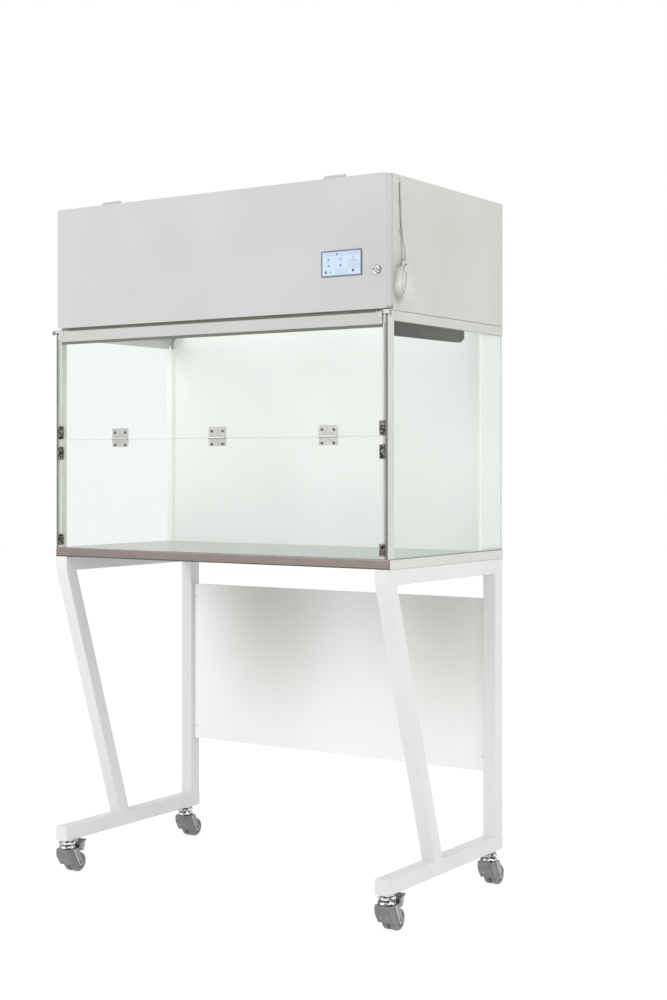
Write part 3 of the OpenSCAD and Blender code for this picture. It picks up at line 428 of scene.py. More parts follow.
# The modesty panel's light and grey upright bands are painted reflections and painted shade.
MODESTY = ReflectionBandCoat("modesty_panel_painted_reflections", "#F8F8F7", 0.36, "#D8D9D5", 1.1, 0.015)
CEILING = PowderCoat("ceiling_coat", "#ECEEEC", 0.55, "#E6E8E6")
# Near-black, darkest at the front: painted shade on a sheet that lies in shade.
WIRING = PaintedShadeCoat("wiring_cover_painted_shade", "#070902", 0.8, "#464B38")
FORK = PowderCoat("fork_grey_coat", "#7D7D7C", 0.36, "#757574", 0.7, 0.012)
# The cheeks' paler grey is painted light: the fork's own paint, lighter on its side faces.
LIT_CHEEK = PowderCoat("fork_cheek_painted_light", "#9A9A98", 0.32, "#929290", 0.7, 0.012)
# Stainless steel, belt-brushed: hairlines draw each reflection out across them.
BENCH = BrushedSteel("bench_stainless", "#C2C8C5", 0.3, "#BBC1BE", Axis.X)
EDGE = BrushedSteel("bench_edge_stainless", "#DEDEDA", 0.36, "#D6D6D1", Axis.Y, 0.7)
STRIP = BrushedSteel("edge_stainless", "#968B86", 0.34, "#857B77", Axis.X, 0.7)
LEAF = BrushedSteel("hinge_stainless", "#C6C7C4", 0.28, "#A6A7A3", Axis.Z, 0.5, 20)
TURNED = BrushedSteel("turned_steel", "#7C7C7B", 0.2, "#5C5C5B", Axis.X, 0.4, 10)
# Plated steel, bright from the bath. On the lock, the caster heads and the catches, the sharp light and dark
# spots are painted highlights and painted shade.
CHROME = PlatedSteel("lock_chrome", "#9B9B9A", 0.14, "#3E3E40", 4.0, 0.08)
SHEET = BrushedSteel("galvanised_sheet", "#B9BCBC", 0.4, "#A6A9A9", Axis.X, 3.0, 3)
ZINC = PlatedSteel("bright_zinc", "#EDEDEC", 0.12, "#777776", 9.0, 0.07)
DARK_PLATE = PlatedSteel("dark_nickel", "#8E8880", 0.16, "#2E2B27", 6.0, 0.07)
LEVER = PlatedSteel("lever_zinc", "#B0B0AD", 0.22, "#8B8B88")
CAST = PlatedSteel("motor_cast_aluminium", "#8E9092", 0.45, "#7A7C7E", 5)
# Painted highlight and painted shade, laid in place as thin strips: pure white up the chamber's rear corners,
# grey-green in the gap under the cover. Soft and matt, with no hard highlight.
CORNER_HIGHLIGHT = MouldedPlastic("corner_painted_highlight", "#FFFFFF", 0.35, "#FBFCFB")
GAP_SHADE = MouldedPlastic("gap_painted_shade", "#A3A498", 0.6, "#98998D")
# Moulded ABS, PVC and rubber, spark-eroded: a matt grain that breaks up reflections.
BEZEL = MouldedPlastic("bezel_abs", "#5C646E", 0.42, "#525A64")
SOCKET = MouldedPlastic("socket_abs", "#CFD0CA", 0.42, "#C9CAC4")
GRILLE = MouldedPlastic("grille_abs", "#C9CAC8", 0.5, "#C2C3C1")
CONTROL = MouldedPlastic("control_box_abs", "#8F9193", 0.5, "#86888A")
SHEATH = MouldedPlastic("lead_sheath_pvc", "#CECFCA", 0.42, "#C8C9C4", 1.2, 0.01)
SEAL = MouldedPlastic("seal_epdm", "#6A6D67", 0.62, "#73766F", 1.0, 0.03, 1.5)
POST_SEAL = MouldedPlastic("post_seal_pvc", "#A0A39F", 0.5, "#A9ACA8", 1.0, 0.02, 1.5)
# Dark strip down the posts: painted shade for the recess beside the seal.
POST_GROOVE_SHADE = MouldedPlastic("post_groove_painted_shade", "#6E716B", 0.55, "#777A74", 1.0, 0.02, 1.5)
# Pale silicone lip for the post seals; along the pane joint the same pale colour is a painted highlight.
LIP_AND_HIGHLIGHT = MouldedPlastic("seal_lip_and_painted_highlight", "#D3D6D3", 0.4, "#C9CCC9", 1.0, 0.02, 1.43)
# Dark strips and slots: painted shade for recesses and under edges.
RECESS_SHADE = MouldedPlastic("painted_recess_shade", "#4B4C44", 0.6, "#42433C")
# Near-white line on the caster cheeks' front edges and on the rivets: painted highlight.
EDGE_HIGHLIGHT = PowderCoat("edge_painted_highlight", "#F0F0EE", 0.25, "#E6E6E4", 0.7, 0.01)
IMPELLER = MouldedPlastic("impeller_nylon", "#3F4346", 0.5, "#35393C")
WHEEL = CasterWheel("caster_wheel", "#848483", 0.55)
# Float glass with ground edges: the faces vanish and the edges show sea green.
FRONT_GLASS = FloatGlass("front_float_glass", "#FDFEFD", 0.02)
SIDE_GLASS = FloatGlass("side_float_glass", "#F6F9F7", 0.02, "#7E9C8D", Axis.X, 1.38)
# Lit film: it glows by itself, so it looks the same in any light.
DISPLAY = LitPanel("display_film", "#BCD0EA", 0.35, 0.95)
LAMP = LitPanel("lamp_opal_tube", "#F7FAFA", 0.4, 1.5)
# Glass paper and fleece, matted: dull and soft, with a faint fuzz at the edges.
PAPER = FilterPaper("pleated_glass_paper", "#EFEFE9", 0.85)
MAT = FilterPaper("prefilter_fleece", "#F2F2EF", 0.9, 1.6)
ICON_NAVY = LitPanel("icon_navy", "#2E3B5E", 0.3)
ICON_SLATE = LitPanel("icon_slate", "#5F7392", 0.3)
ICON_BLUE = LitPanel("icon_blue", "#7F8CC2", 0.3)
ICON_GREEN = LitPanel("icon_green", "#7CCB8C", 0.3)
TILE = LitPanel("icon_tile", "#C4D8F1", 0.35)


# ---- making pieces ----


@dataclass
class Form:
    """A mesh under construction, in metres in the row frame."""

    mesh: bmesh.types.BMesh = field(default_factory=bmesh.new)

    def box(self, low: Point, high: Point, soften: float = 0.0) -> "Form":
        """Adds a box.

        Args:
            low: Lowest corner.
            high: Highest corner.
            soften: Radius of its edges.

        Returns:
            This form.
        """
        low, high = Vector(low), Vector(high)
        made = bmesh.ops.create_cube(self.mesh, size=1.0)["verts"]
        for vert in made:
            vert.co = Vector([a + (b - a) * (c + 0.5) for a, b, c in zip(low, high, vert.co)])
        if soften:
            edges = {edge for vert in made for edge in vert.link_edges}
            bmesh.ops.bevel(self.mesh, geom=list(edges), offset=soften, segments=3, affect="EDGES",
                            profile=0.5)
        return self

    def lathe(self, centre: Point, axis: Vector, profile: Sequence[Point], sides: int = 40) -> "Form":
        """Turns a profile round an axis.

        Args:
            centre: Where the profile's zero lies.
            axis: Direction along which heights are measured.
            profile: Pairs of radius and height, from one end of the axis to the other.
            sides: Segments in a full turn.

        Returns:
            This form.
        """
        turn = axis.normalized().to_track_quat("Z", "Y").to_matrix()
        rings = []
        for radius, height in profile:
            count = 1 if radius < 1e-7 else sides
            ring = [self.mesh.verts.new(Vector(centre) + turn @ Vector((
                radius * math.cos(math.tau * k / sides), radius * math.sin(math.tau * k / sides), height)))
                for k in range(count)]
            rings.append(ring)
        for first, second in zip(rings, rings[1:]):
            for k in range(sides):
                a, b = first[k % len(first)], first[(k + 1) % len(first)]
                c, d = second[(k + 1) % len(second)], second[k % len(second)]
                corners = list(dict.fromkeys((a, b, c, d)))
                if len(corners) > 2:
                    self.mesh.faces.new(corners)
        return self

    def prism(self, outline: Sequence[Point], lift: Vector, base: Point) -> "Form":
        """Extrudes an outline.

        Args:
            outline: Corners as points relative to the base.
            lift: How far and which way it is extruded.
            base: Point that the outline is relative to.

        Returns:
            This form.
        """
        low = [self.mesh.verts.new(Vector(base) + Vector(p)) for p in outline]
        high = [self.mesh.verts.new(v.co + lift) for v in low]
        count = len(low)
        self.mesh.faces.new(low[::-1])
        self.mesh.faces.new(high)
        for k in range(count):
            self.mesh.faces.new((low[k], low[(k + 1) % count], high[(k + 1) % count], high[k]))
        return self

    def tube(self, path: Sequence[Point], radius: float, sides: int = 12) -> "Form":
        """Sweeps a round section along a path and closes its ends.

        Args:
            path: Points that the middle follows.
            radius: Radius of the section.
            sides: Points in the section.

        Returns:
            This form.
        """
        points = [Vector(p) for p in path]
        rings = []
        for i, point in enumerate(points):
            run = (points[min(i + 1, len(points) - 1)] - points[max(i - 1, 0)]).normalized()
            side = run.cross(Vector((0.3, 1.0, 0.2))).normalized()
            up = run.cross(side)
            rings.append([self.mesh.verts.new(point + radius * (
                math.cos(math.tau * k / sides) * side + math.sin(math.tau * k / sides) * up))
                for k in range(sides)])
        for first, second in zip(rings, rings[1:]):
            for k in range(sides):
                self.mesh.faces.new((first[k], first[(k + 1) % sides], second[(k + 1) % sides], second[k]))
        self.mesh.faces.new(rings[0][::-1])
        self.mesh.faces.new(rings[-1])
        return self

    def piece(self, name: str, finish: Finish, body: str, slot: str,
              smooth: float = 35.0) -> bpy.types.Object:
        """Makes the object, dresses it and lets it ride on a body.

        Args:
            name: The piece's name.
            finish: What it is coated or made with.
            body: The moving body it rides on.
            slot: The record's material slot its finish belongs to; not used.
            smooth: Edges flatter than this many degrees are shaded smooth.

        Returns:
            The new object.
        """
        bmesh.ops.recalc_face_normals(self.mesh, faces=self.mesh.faces)
        data = bpy.data.meshes.new(name)
        self.mesh.to_mesh(data)
        self.mesh.free()
        made = bpy.data.objects.new(name, data)
        bpy.context.scene.collection.objects.link(made)
        data.materials.append(finish.material())
        round_shading(made, smooth)
        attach(made, body)
        log.info("piece %s rides on %s, %d faces", name, body, len(data.polygons))
        return made


def round_shading(made: bpy.types.Object, degrees: float) -> None:
    """Shades the faces smooth and marks the edges over an angle as sharp.

    Args:
        made: The object to shade.
        degrees: Angle over which an edge stays sharp.
    """
    data = made.data
    data.polygons.foreach_set("use_smooth", [True] * len(data.polygons))
    data.set_sharp_from_angle(angle=math.radians(degrees))


def dress(nodes: Sequence[str], finish: Finish, bevel_mm: float = 0.0) -> None:
    """Gives CAD nodes a finish, and a small rounded edge that catches light.

    Args:
        nodes: The nodes' names.
        finish: The finish they take.
        bevel_mm: Radius of the rounded edges in millimetres, or 0 for none.
    """
    for name in nodes:
        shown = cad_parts[name]
        shown.data.materials.clear()
        shown.data.materials.append(finish.material())
        if bevel_mm:
            edge = shown.modifiers.new("edge", "BEVEL")
            edge.width = bevel_mm * MM
            edge.segments = 2
            edge.limit_method = "ANGLE"
            edge.angle_limit = math.radians(40)
            edge.harden_normals = True
            edge.use_clamp_overlap = True
        log.info("node %s is dressed in %s", name, finish.name)


def screw_head(form: Form, place: Vector, out: Vector, radius: float, rise: float) -> None:
    """Adds a domed cross-recess screw head to a form.

    Args:
        form: The form it joins.
        place: Middle of its seat.
        out: Direction in which it stands out.
        radius: Radius of the head.
        rise: Height of the head.
    """
    form.lathe(place, out, [
        (radius, 0), (radius, rise * 0.25), (radius * 0.86, rise * 0.7), (radius * 0.55, rise * 0.95),
        (radius * 0.3, rise), (radius * 0.28, rise * 0.35), (0, rise * 0.3)], 20)


# ---- sub-assemblies ----


@dataclass
class FilterHousing:
    """The housing over the chamber, with its service cover, air path and the socket on its side."""

    screw_r: float = 2.6 * MM
    lead_r: float = 3.5 * MM

    def dress_sheet(self) -> None:
        """Coats the sheet-metal pieces."""
        dress(["housing_shell", "front_frame"], SHELL)
        dress(["front_cover"], COVER, 0.5)
        dress(["side_rail_left", "side_rail_right"], RAIL, 0.4)
        dress(["air_diffuser"], CEILING)
        dress(["wiring_cover"], WIRING, 0.6)
        dress(["control_box"], CONTROL, 0.8)

    def dress_air_path(self) -> None:
        """Dresses the fan, the filters and the lamp."""
        dress(["prefilter_grille"], GRILLE)
        dress(["prefilter_mat"], MAT)
        dress(["fan_deck"], SHEET)
        dress(["filter_frame"], INNER)
        dress(["fan_motor"], CAST)
        dress(["fan_impeller"], IMPELLER)
        dress(["filter_pack"], PAPER)
        dress(["lamp_tube"], LAMP)

    def dress_cover_fittings(self) -> None:
        """Dresses the cover's hinges and lock, and screws the leaves down."""
        dress(["cover_hinge_fixed", "cover_hinge_moving"], RAIL, 0.3)
        dress(["lock_body", "lock_cam"], CHROME, 0.3)
        for node, body in (("cover_hinge_fixed", "hood"), ("cover_hinge_moving", "cover")):
            low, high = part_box(node)
            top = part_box("housing_shell")[1].z + 2 * MM
            heads = Form()
            width = 61 * MM
            row = low.y + 6 * MM if body == "cover" else high.y - 8 * MM
            for start in (low.x, high.x - width):
                for share in (0.2, 0.8):
                    screw_head(heads, Vector((start + width * share, row, top)), Axis.Z.vector,
                               self.screw_r, 1.2 * MM)
            heads.piece(f"{node}_screws", TURNED, body, "screw_steel")

    def build_side_lead(self) -> None:
        """Clips the service lead to the side, with a grommet where it enters."""
        dress(["socket_base"], SOCKET, 0.6)
        dress(["socket_lid"], SOCKET, 0.5)
        dress(["side_lead"], SHEATH)
        low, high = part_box("side_lead")
        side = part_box("housing_shell")[1].x
        middle = low.y + self.lead_r
        grommet = Form().lathe((side, middle, high.z - self.lead_r), Axis.X.vector, [
            (self.lead_r + 0.3 * MM, 0), (self.lead_r + 0.3 * MM, 1.6 * MM), (self.lead_r + 2 * MM, 2 * MM),
            (self.lead_r + 4.5 * MM, 1.2 * MM), (self.lead_r + 5 * MM, 0), (self.lead_r + 0.3 * MM, 0)])
        grommet.piece("lead_grommet", SHEATH, "hood", "lead_sheath")
        for index, height in enumerate((0.34, 0.7)):
            z = low.z + (high.z - low.z) * height
            y = middle + (4 - 4 * height) * MM
            clip = Form()
            arch = [(side + 4.4 * MM + 4.6 * MM * math.cos(a), y + 4.9 * MM * math.sin(a), z)
                    for a in [math.pi * (k / 10 - 0.5) for k in range(11)]]
            ends = [(side + 0.8 * MM, y + reach * MM, z) for reach in (-4.9, 4.9)]
            clip.tube([ends[0], *arch, ends[1]], 1.0 * MM, 8)
            clip.box((side, y + 4.6 * MM, z - 3.5 * MM),
                     (side + 1.6 * MM, y + 14 * MM, z + 3.5 * MM), 0.6 * MM)
            screw_head(clip, Vector((side + 1.6 * MM, y + 10 * MM, z)), Axis.X.vector, 2.2 * MM, 1.0 * MM)
            clip.piece(f"lead_clip_{index}", SOCKET, "hood", "socket_plastic")

    def build(self) -> None:
        """Dresses and details the whole housing."""
        self.dress_sheet()
        self.dress_air_path()
        self.dress_cover_fittings()
        self.build_side_lead()


class Mark(Enum):
    """What a mark on the display looks like."""

    DISC = "disc"
    RING = "ring"
    BAR = "bar"


@dataclass
class TouchScreen:
    """The lit display on the front cover: plain tiles, round icons and level bars."""

    film: float = 0.12 * MM

    def spot(self, across: float, down: float) -> Vector:
        """The point of the display at shares of its width from the left and of its height from the top."""
        low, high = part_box("screen_display")
        return Vector((low.x + (high.x - low.x) * across, low.y, high.z - (high.z - low.z) * down))

    def mark(self, form: Form, kind: Mark, across: float, down: float, size: float,
             tall: float = 0.0) -> None:
        """Adds one mark to a form.

        Args:
            form: The form it joins.
            kind: Disc, ring or bar.
            across: Share of the display's width from its left.
            down: Share of its height from the top.
            size: Radius, or half the bar's length.
            tall: Half the bar's height.
        """
        place = self.spot(across, down)
        rise = 2 * self.film
        if kind is Mark.BAR:
            form.box(place + Vector((-size, -rise, -tall)), place + Vector((size, 0, tall)))
            return
        out = -Axis.Y.vector
        inner = size * 0.55 if kind is Mark.RING else 0.0
        form.lathe(place, out, [(inner, 0), (inner, rise), (size, rise), (size, 0)], 24)

    def build(self) -> None:
        """Dresses the bezel and the display and lays the marks on it."""
        dress(["screen_bezel"], BEZEL, 0.3)
        dress(["screen_display"], DISPLAY)
        tiles, slate, blue, green, navy = Form(), Form(), Form(), Form(), Form()
        for column in range(3):
            for row, (top, bottom) in enumerate(((0.2, 0.47), (0.49, 0.72), (0.74, 0.97))):
                if (column, row) in ((2, 1), (1, 2)):
                    continue
                start, stop = self.spot(0.02 + column * 0.33, bottom), self.spot(0.33 + column * 0.33, top)
                tiles.box(start + Vector((0, -self.film, 0)), stop)
        discs = ((0.16, 0.31, 3.3), (0.167, 0.58, 3.1), (0.48, 0.58, 3.4), (0.38, 0.11, 2.9))
        for across, down, size in discs:
            self.mark(slate, Mark.DISC, across, down, size * MM)
        for across, down, size in ((0.093, 0.85, 3.5), (0.805, 0.83, 4.0)):
            self.mark(navy, Mark.DISC, across, down, size * MM)
        for across, down, size in ((0.48, 0.31, 4.4), (0.805, 0.3, 3.9)):
            self.mark(blue, Mark.RING, across, down, size * MM)
        for across, down, size in ((0.74, 0.11, 7), (0.89, 0.09, 4.5)):
            self.mark(blue, Mark.BAR, across, down, size * MM, 0.6 * MM)
        bars = ((0.167, 0.425, 10, 1.0), (0.81, 0.41, 12, 1.8), (0.213, 0.86, 4.4, 2.6))
        for across, down, size, tall in bars:
            self.mark(green, Mark.BAR, across, down, size * MM, tall * MM)
        for name, form, finish in (("tiles", tiles, TILE), ("icons_slate", slate, ICON_SLATE),
                                   ("icons_blue", blue, ICON_BLUE), ("levels", green, ICON_GREEN),
                                   ("icons_navy", navy, ICON_NAVY)):
            form.piece(f"display_{name}", finish, "cover", "screen_glass")


@dataclass
class FrontSash:
    """The header with its pivots and the two glass panes that fold on three hinges."""

    hook_w: float = 8 * MM
    hook_t: float = 2.6 * MM
    gasket_h: float = 7 * MM
    highlight_t: float = 0.4 * MM
    highlight_h: float = 1.6 * MM

    def build(self) -> None:
        """Dresses the sash and adds the header's gasket and hooks and the painted highlight line between the
        panes.
        """
        dress(["header_rail"], HEADER, 0.4)
        dress(["pivot_pins"], LEVER, 0.4)
        dress(["upper_pane", "lower_pane"], FRONT_GLASS)
        dress(["pane_hinge_upper", "pane_hinge_lower"], LEAF, 0.25)
        dress(["upper_leaf_screws", "lower_leaf_screws"], TURNED, 0.2)
        self.build_header_seal()
        self.build_joint_highlight()
        self.build_hooks()

    def build_joint_highlight(self) -> None:
        """Lays a pale strip along the lower pane's top edge: a painted highlight on the joint between the
        panes.
        """
        low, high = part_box("lower_pane")
        lip = Form().box((low.x + 1 * MM, low.y - self.highlight_t, high.z - self.highlight_h),
                         (high.x - 1 * MM, low.y, high.z), 0.15 * MM)
        lip.piece("pane_joint_highlight", LIP_AND_HIGHLIGHT, "lower_sash", "shell_paint")

    def build_hooks(self) -> None:
        """Folds the small hooks at the header's ends, over its front face."""
        low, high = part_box("header_rail")
        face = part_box("front_post_left")[0].y
        hooks = Form()
        for start in (low.x, high.x - self.hook_w):
            hooks.box((start, face - self.hook_t, high.z - 17 * MM),
                      (start + self.hook_w, face + 0.5 * MM, high.z - 3 * MM), 1.4 * MM)
        hooks.piece("header_hooks", POST, "sash", "shell_paint")

    def build_header_seal(self) -> None:
        """Lays the glazing gasket along the header, where the pane goes in."""
        pane_low, pane_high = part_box("upper_pane")
        rail_low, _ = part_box("header_rail")
        gasket = Form()
        for y0, y1 in ((pane_low.y - 1.8 * MM, pane_low.y), (pane_high.y, pane_high.y + 1.6 * MM)):
            gasket.box((pane_low.x, y0, rail_low.z - self.gasket_h), (pane_high.x, y1, rail_low.z),
                       0.5 * MM)
        gasket.piece("header_gasket", SEAL, "sash", "shell_paint")


@dataclass
class WorkChamber:
    """The glazed chamber: posts, side glass, rear wall, catches and door seals."""

    bevel_w: float = 10 * MM
    bevel_d: float = 4 * MM
    seal_t: float = 0.7 * MM

    def build(self) -> None:
        """Dresses the chamber, lays the front posts' seals, and paints shade into the gap over the header and
        the posts' recesses and highlights up the rear corners.
        """
        dress(["front_post_left", "front_post_right"], POST, 0.3)
        dress(["rear_wall"], INNER, 0.5)
        dress(["side_glass_left", "side_glass_right"], SIDE_GLASS)
        dress(["upper_catches", "lower_catches"], DARK_PLATE, 0.3)
        for side in ("left", "right"):
            self.build_post_seal(side)
        self.build_gap_shade()
        self.build_corner_highlights()

    def build_corner_highlights(self) -> None:
        """Runs a pure white strip up both rear corners, where the side glass meets the rear wall: a painted
        highlight over the corners' shade.
        """
        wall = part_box("rear_wall")[0]
        for side, sign in (("left", 1), ("right", -1)):
            low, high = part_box(f"side_glass_{side}")
            edge = high.x if side == "left" else low.x
            outline = [(edge + sign * across * MM, wall.y - out * MM, low.z)
                       for across, out in ((0, 9), (3, 7), (9, 1), (9, 0), (0, 0))]
            bead = Form().prism(outline, Vector((0, 0, high.z - low.z)), Vector((0, 0, 0)))
            bead.piece(f"corner_highlight_{side}", CORNER_HIGHLIGHT, "hood", "shell_paint")

    def build_gap_shade(self) -> None:
        """Lays a dark strip behind the gap between the header and the cover: painted shade in the gap."""
        left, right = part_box("front_cover")
        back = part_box("housing_shell")[0].y
        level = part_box("housing_shell")[0].z
        strip = Form().box((left.x + 41 * MM, back - 6 * MM, level - 5 * MM),
                           (right.x - 41 * MM, back, level + 2.4 * MM), 0.4 * MM)
        strip.piece("cover_gap_shade", GAP_SHADE, "hood", "shell_paint")

    def build_post_seal(self, side: str) -> None:
        """Lays the door seal down a post's bevel: a pale lip and a grey bead. A dark strip beside it and a
        dark slot near its top are painted shade for recesses.

        Args:
            side: Left or right.
        """
        low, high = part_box(f"front_post_{side}")
        _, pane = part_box("upper_pane")
        sign = 1 if side == "right" else -1
        inner = low.x if side == "right" else high.x

        def spot(share: float, rise: float) -> Vector:
            """Gives a point along the bevel, raised from it."""
            return Vector((inner + sign * (self.bevel_w * share - 0.37 * rise),
                           low.y + self.bevel_d * (1 - share) - 0.93 * rise, 0))

        for name, start, stop, top, finish in (
                ("lip", 0.02, 0.46, pane.z, LIP_AND_HIGHLIGHT), ("bead", 0.48, 0.98, pane.z, POST_SEAL)):
            base = low.z + 0.5 * MM
            outline = [spot(start, 0), spot(stop, 0), spot(stop, self.seal_t), spot(start, self.seal_t)]
            run = Form().prism(outline, Vector((0, 0, top - base)), Vector((0, 0, base)))
            run.piece(f"post_{name}_{side}", finish, "hood", "post_paint")
        ends = sorted((inner + sign * 10 * MM, inner + sign * 16 * MM))
        # A dark strip on the post's flat front: painted shade for the recess beside the seal.
        groove = Form().box((ends[0], low.y - self.seal_t, low.z + 0.5 * MM),
                            (ends[1], low.y, high.z - 17 * MM), 0.25 * MM)
        groove.piece(f"post_groove_{side}", POST_GROOVE_SHADE, "hood", "post_paint")
        # A dark slot near the post's top: painted shade for a recess.
        x = inner + sign * 12.5 * MM
        slot = Form().box((x - 3.8 * MM, low.y - 0.5 * MM, high.z - 16 * MM),
                          (x + 3.8 * MM, low.y + 0.1 * MM, high.z - 10.5 * MM), 0.28 * MM)
        slot.piece(f"post_slot_shade_{side}", RECESS_SHADE, "hood", "post_paint")


@dataclass
class Bench:
    """The worktop with its edge strip, side trims and port."""

    trim_t: float = 0.8 * MM

    def build(self) -> None:
        """Dresses the worktop, folds the steel trims over its sides with a seam line along their tops, and
        lays a strip of painted shade at the foot of the front edge.
        """
        dress(["worktop"], BENCH)
        dress(["edge_strip"], STRIP, 0.6)
        dress(["port_plug"], GRILLE, 0.4)
        low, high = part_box("worktop")
        trims, shades, seams = Form(), Form(), Form()
        for inner, outer in ((low.x, low.x - self.trim_t), (high.x, high.x + self.trim_t)):
            ends = sorted((inner, outer))
            trims.box((ends[0], low.y, low.z), (ends[1], high.y, high.z - 1.6 * MM), 0.3 * MM)
            seams.box((ends[0], low.y, high.z - 1.4 * MM), (ends[1], high.y, high.z), 0.3 * MM)
        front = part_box("edge_strip")[0]
        # A dark band at the foot of the front edge strip: painted shade.
        shades.box((low.x, front.y - 0.5 * MM, low.z), (high.x, front.y, low.z + 3 * MM), 0.2 * MM)
        trims.piece("bench_side_trims", EDGE, "hood", "strip_steel")
        seams.piece("bench_side_seams", SEAL, "hood", "strip_steel")
        shades.piece("bench_lower_shade", RECESS_SHADE, "hood", "strip_steel")


@dataclass
class Stand:
    """The welded side frames and the modesty panel."""

    def build(self) -> None:
        """Coats the stand and adds the panel's screws."""
        dress(["side_frame_left", "side_frame_right"], STAND, 0.0)
        dress(["modesty_panel"], MODESTY, 0.4)
        for side in ("left", "right"):
            self.build_panel_screws(side)

    def build_panel_screws(self, side: str) -> None:
        """Puts the button heads that hold the panel to a rear post.

        Args:
            side: Left or right.
        """
        low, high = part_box("modesty_panel")
        heads = Form()
        x = low.x + 9 * MM if side == "left" else high.x - 9 * MM
        for share in (0.08, 0.92):
            screw_head(heads, Vector((x, low.y, low.z + (high.z - low.z) * share)), -Axis.Y.vector,
                       3 * MM, 1.6 * MM)
        heads.piece(f"panel_screws_{side}", STAND, "hood", "stand_paint")


@dataclass
class Caster:
    """One twin-wheel swivel caster."""

    corner: str
    boss_r: float = 8 * MM
    edge_r: float = 1.0 * MM
    skin: float = 0.3 * MM

    def build(self) -> None:
        """Dresses the caster and adds the cheeks' painted light and painted edge highlights and the rivets.
        """
        dress([f"caster_head_{self.corner}"], ZINC)
        dress([f"caster_fork_{self.corner}"], FORK, 0.5)
        dress([f"caster_wheels_{self.corner}"], WHEEL)
        if f"brake_lever_{self.corner}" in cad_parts:
            dress([f"brake_lever_{self.corner}"], LEVER, 0.6)
        low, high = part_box(f"caster_wheels_{self.corner}")
        self.build_cheeks((low + high) / 2)
        self.build_rivets((low + high) / 2)

    def build_cheeks(self, axle: Vector) -> None:
        """Lays a paler skin on each cheek plate, painted light on the fork's side faces, and a bright line
        along its front edge, a painted highlight.

        Args:
            axle: Middle of the two wheels.
        """
        low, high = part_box(f"caster_fork_{self.corner}")
        turn = [math.radians(207 + 193 * k / 12) for k in range(13)]
        boss = [Vector((0, self.boss_r * math.cos(a), self.boss_r * math.sin(a))) for a in turn]
        top = high.z - 0.6 * MM if self.corner[0] == "r" else axle.z + 41.4 * MM
        front = Vector((0, -30 * MM, top - axle.z))
        back = Vector((0, -12 * MM, top - axle.z))
        edges, skins = Form(), Form()
        for sign in (-1, 1):
            face = axle + Vector((sign * 24 * MM, 0, 0))
            edges.tube([face + p for p in (front, *boss)], self.edge_r, 8)
            skins.prism([front + Vector((0, 1 * MM, 0)), *[p * 0.9 for p in boss], back],
                        Vector((sign * self.skin, 0, 0)), face)
        edges.piece(f"caster_edge_highlights_{self.corner}", EDGE_HIGHLIGHT, f"fork_{self.corner}", "caster_zinc")
        skins.piece(f"caster_cheeks_painted_light_{self.corner}", LIT_CHEEK, f"fork_{self.corner}", "fork_paint")

    def build_rivets(self, axle: Vector) -> None:
        """Puts the rivets on the fork's slanted front, in a near-white finish that is a painted highlight.

        Args:
            axle: Middle of the two wheels.
        """
        rivets = Form()
        out = Vector((0, -0.845, -0.535))
        for across, up, radius in ((-8, 12, 2.4), (9, 16, 1.5), (9, 8, 1.5)):
            seat = axle + Vector((across, -43.6 - (up - 10) * 0.633, up)) * MM
            screw_head(rivets, seat, out, radius * MM, 1.2 * MM)
        rivets.piece(f"caster_rivets_{self.corner}", EDGE_HIGHLIGHT, f"fork_{self.corner}", "caster_zinc")


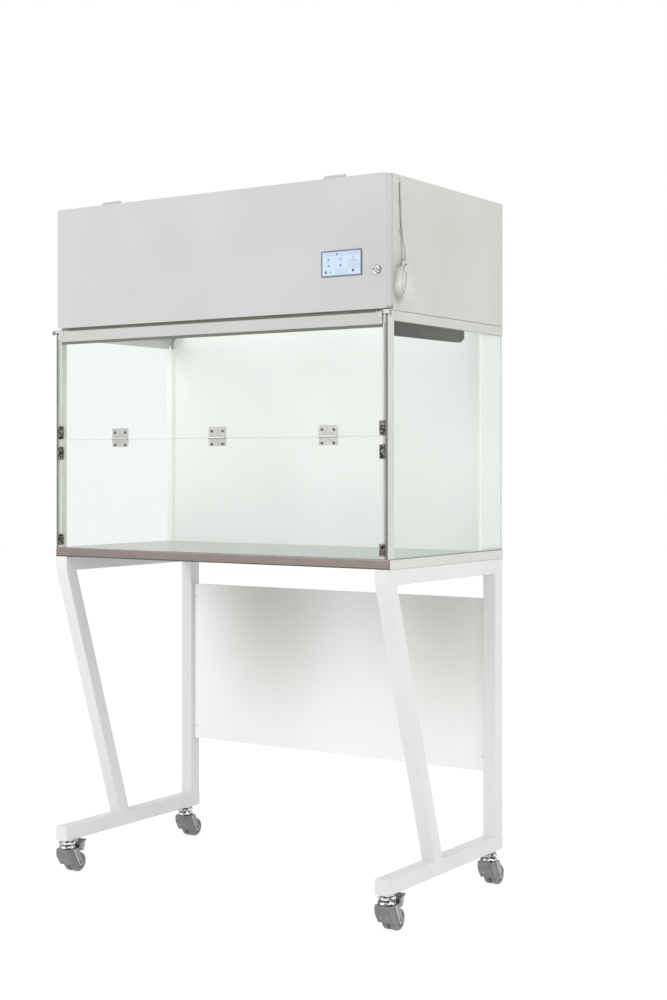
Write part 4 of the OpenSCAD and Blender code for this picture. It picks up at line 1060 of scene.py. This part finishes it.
@dataclass
class Studio:
    """The pale floor, the soft lights and the camera."""

    focal_mm: float = 58.27
    drop: float = -0.0346
    eye: Point = (2.616, -3.6797, 1.151)
    yaw: float = 33.53
    ambient: float = 0.72
    floor: float = 14.0

    def build_camera(self) -> None:
        """Places the camera at standing chest height, to the right of the front."""
        data = bpy.data.cameras.new("camera")
        data.sensor_fit = "VERTICAL"
        data.sensor_height = 36
        data.lens = self.focal_mm
        data.shift_y = self.drop
        data.clip_end = 60
        camera = bpy.data.objects.new("camera", data)
        camera.location = self.eye
        camera.rotation_euler = (math.radians(90), 0, math.radians(self.yaw))
        bpy.context.scene.collection.objects.link(camera)
        bpy.context.scene.camera = camera

    def build_world(self) -> None:
        """Lights the scene evenly, with plain white behind it and in its reflections."""
        world = bpy.data.worlds.new("studio")
        world.use_nodes = True
        tree = world.node_tree
        tree.nodes.clear()
        path = add(tree, "ShaderNodeLightPath")
        first = add(tree, "ShaderNodeMath", {
            0: path.outputs["Is Camera Ray"], 1: path.outputs["Is Glossy Ray"]},
                    operation="MAXIMUM")
        seen = add(tree, "ShaderNodeMath", {0: first.outputs[0], 1: path.outputs["Is Transmission Ray"]},
                   operation="MAXIMUM")
        soft = add(tree, "ShaderNodeBackground", {"Color": linear("#F9F9F7"), "Strength": self.ambient})
        white = add(tree, "ShaderNodeBackground", {"Color": linear("#FFFFFF"), "Strength": 1.0})
        mix = add(tree, "ShaderNodeMixShader", {
            0: seen.outputs[0], 1: soft.outputs[0], 2: white.outputs[0]})
        add(tree, "ShaderNodeOutputWorld", {"Surface": mix.outputs[0]})
        bpy.context.scene.world = world

    def build_floor(self) -> None:
        """Lays the pale floor, which keeps a soft shadow and meets the white behind it."""
        form = Form().box((-self.floor, -self.floor, -0.02), (self.floor, self.floor, 0.0))
        data = bpy.data.meshes.new("floor")
        form.mesh.to_mesh(data)
        form.mesh.free()
        made = bpy.data.objects.new("floor", data)
        bpy.context.scene.collection.objects.link(made)
        material = bpy.data.materials.new("studio_floor")
        material.use_nodes = True
        tree = material.node_tree
        tree.nodes.clear()
        path = add(tree, "ShaderNodeLightPath")
        first = add(tree, "ShaderNodeMath", {
            0: path.outputs["Is Camera Ray"], 1: path.outputs["Is Glossy Ray"]},
                    operation="MAXIMUM")
        seen = add(tree, "ShaderNodeMath", {0: first.outputs[0], 1: path.outputs["Is Transmission Ray"]},
                   operation="MAXIMUM")
        share = add(tree, "ShaderNodeMath", {0: seen.outputs[0], 1: 0.72}, operation="MULTIPLY")
        matt = add(tree, "ShaderNodeBsdfDiffuse", {"Color": linear("#F4F4F4")})
        white = add(tree, "ShaderNodeEmission", {"Color": linear("#FFFFFF"), "Strength": 1.16})
        mix = add(tree, "ShaderNodeMixShader", {0: share.outputs[0], 1: matt.outputs[0], 2: white.outputs[0]})
        add(tree, "ShaderNodeOutputMaterial", {"Surface": mix.outputs[0]})
        data.materials.append(material)

    def build_lamp(self, name: str, place: Point, aim: Point, size: tuple[float, float], power: float,
                   seen: bool = True) -> None:
        """Hangs one soft oblong lamp.

        Args:
            name: The lamp's name.
            place: Where it hangs.
            aim: The point it faces.
            size: Its two sides in metres.
            power: Its power in watts.
            seen: Whether it shows in reflections and through glass.
        """
        data = bpy.data.lights.new(name, "AREA")
        data.shape = "RECTANGLE"
        data.size, data.size_y = size
        data.energy = power
        lamp = bpy.data.objects.new(name, data)
        lamp.location = place
        lamp.visible_camera = lamp.visible_glossy = lamp.visible_transmission = seen
        lamp.rotation_euler = (Vector(aim) - Vector(place)).to_track_quat("-Z", "Y").to_euler()
        bpy.context.scene.collection.objects.link(lamp)

    def build(self) -> None:
        """Builds camera, world, floor and lamps."""
        self.build_camera()
        self.build_world()
        self.build_floor()
        self.build_lamp("key_lamp", (-2.2, -4.2, 3.4), (0, 0, 1.2), (3.0, 3.0), 95)
        self.build_lamp("side_lamp", (4.6, -0.6, 2.6), (0.4, 0, 1.2), (2.6, 2.6), 70)
        low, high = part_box("air_diffuser")
        self.build_lamp("low_lamp", (-0.5, -2.2, 0.5), (0, 0.2, 0.5), (2.0, 0.8), 4, False)
        self.build_lamp("chamber_lamp", (0, (low.y + high.y) / 2, low.z - 0.02),
                        (0, (low.y + high.y) / 2, 0), (1.0, 0.4), 1.2, False)
        view = bpy.context.scene.view_settings
        view.view_transform = "Standard"


def main() -> None:
    """Builds every sub-assembly in order."""
    logging.basicConfig(level=logging.INFO, format="%(message)s", stream=sys.stdout)
    Studio().build()
    parts = [FilterHousing(), TouchScreen(), FrontSash(), WorkChamber(), Bench(), Stand()]
    parts += [Caster(corner) for corner in ("fl", "fr", "rl", "rr")]
    for part in parts:
        part.build()
        log.info("built %s", type(part).__name__)


if __name__ == "__main__":
    main()
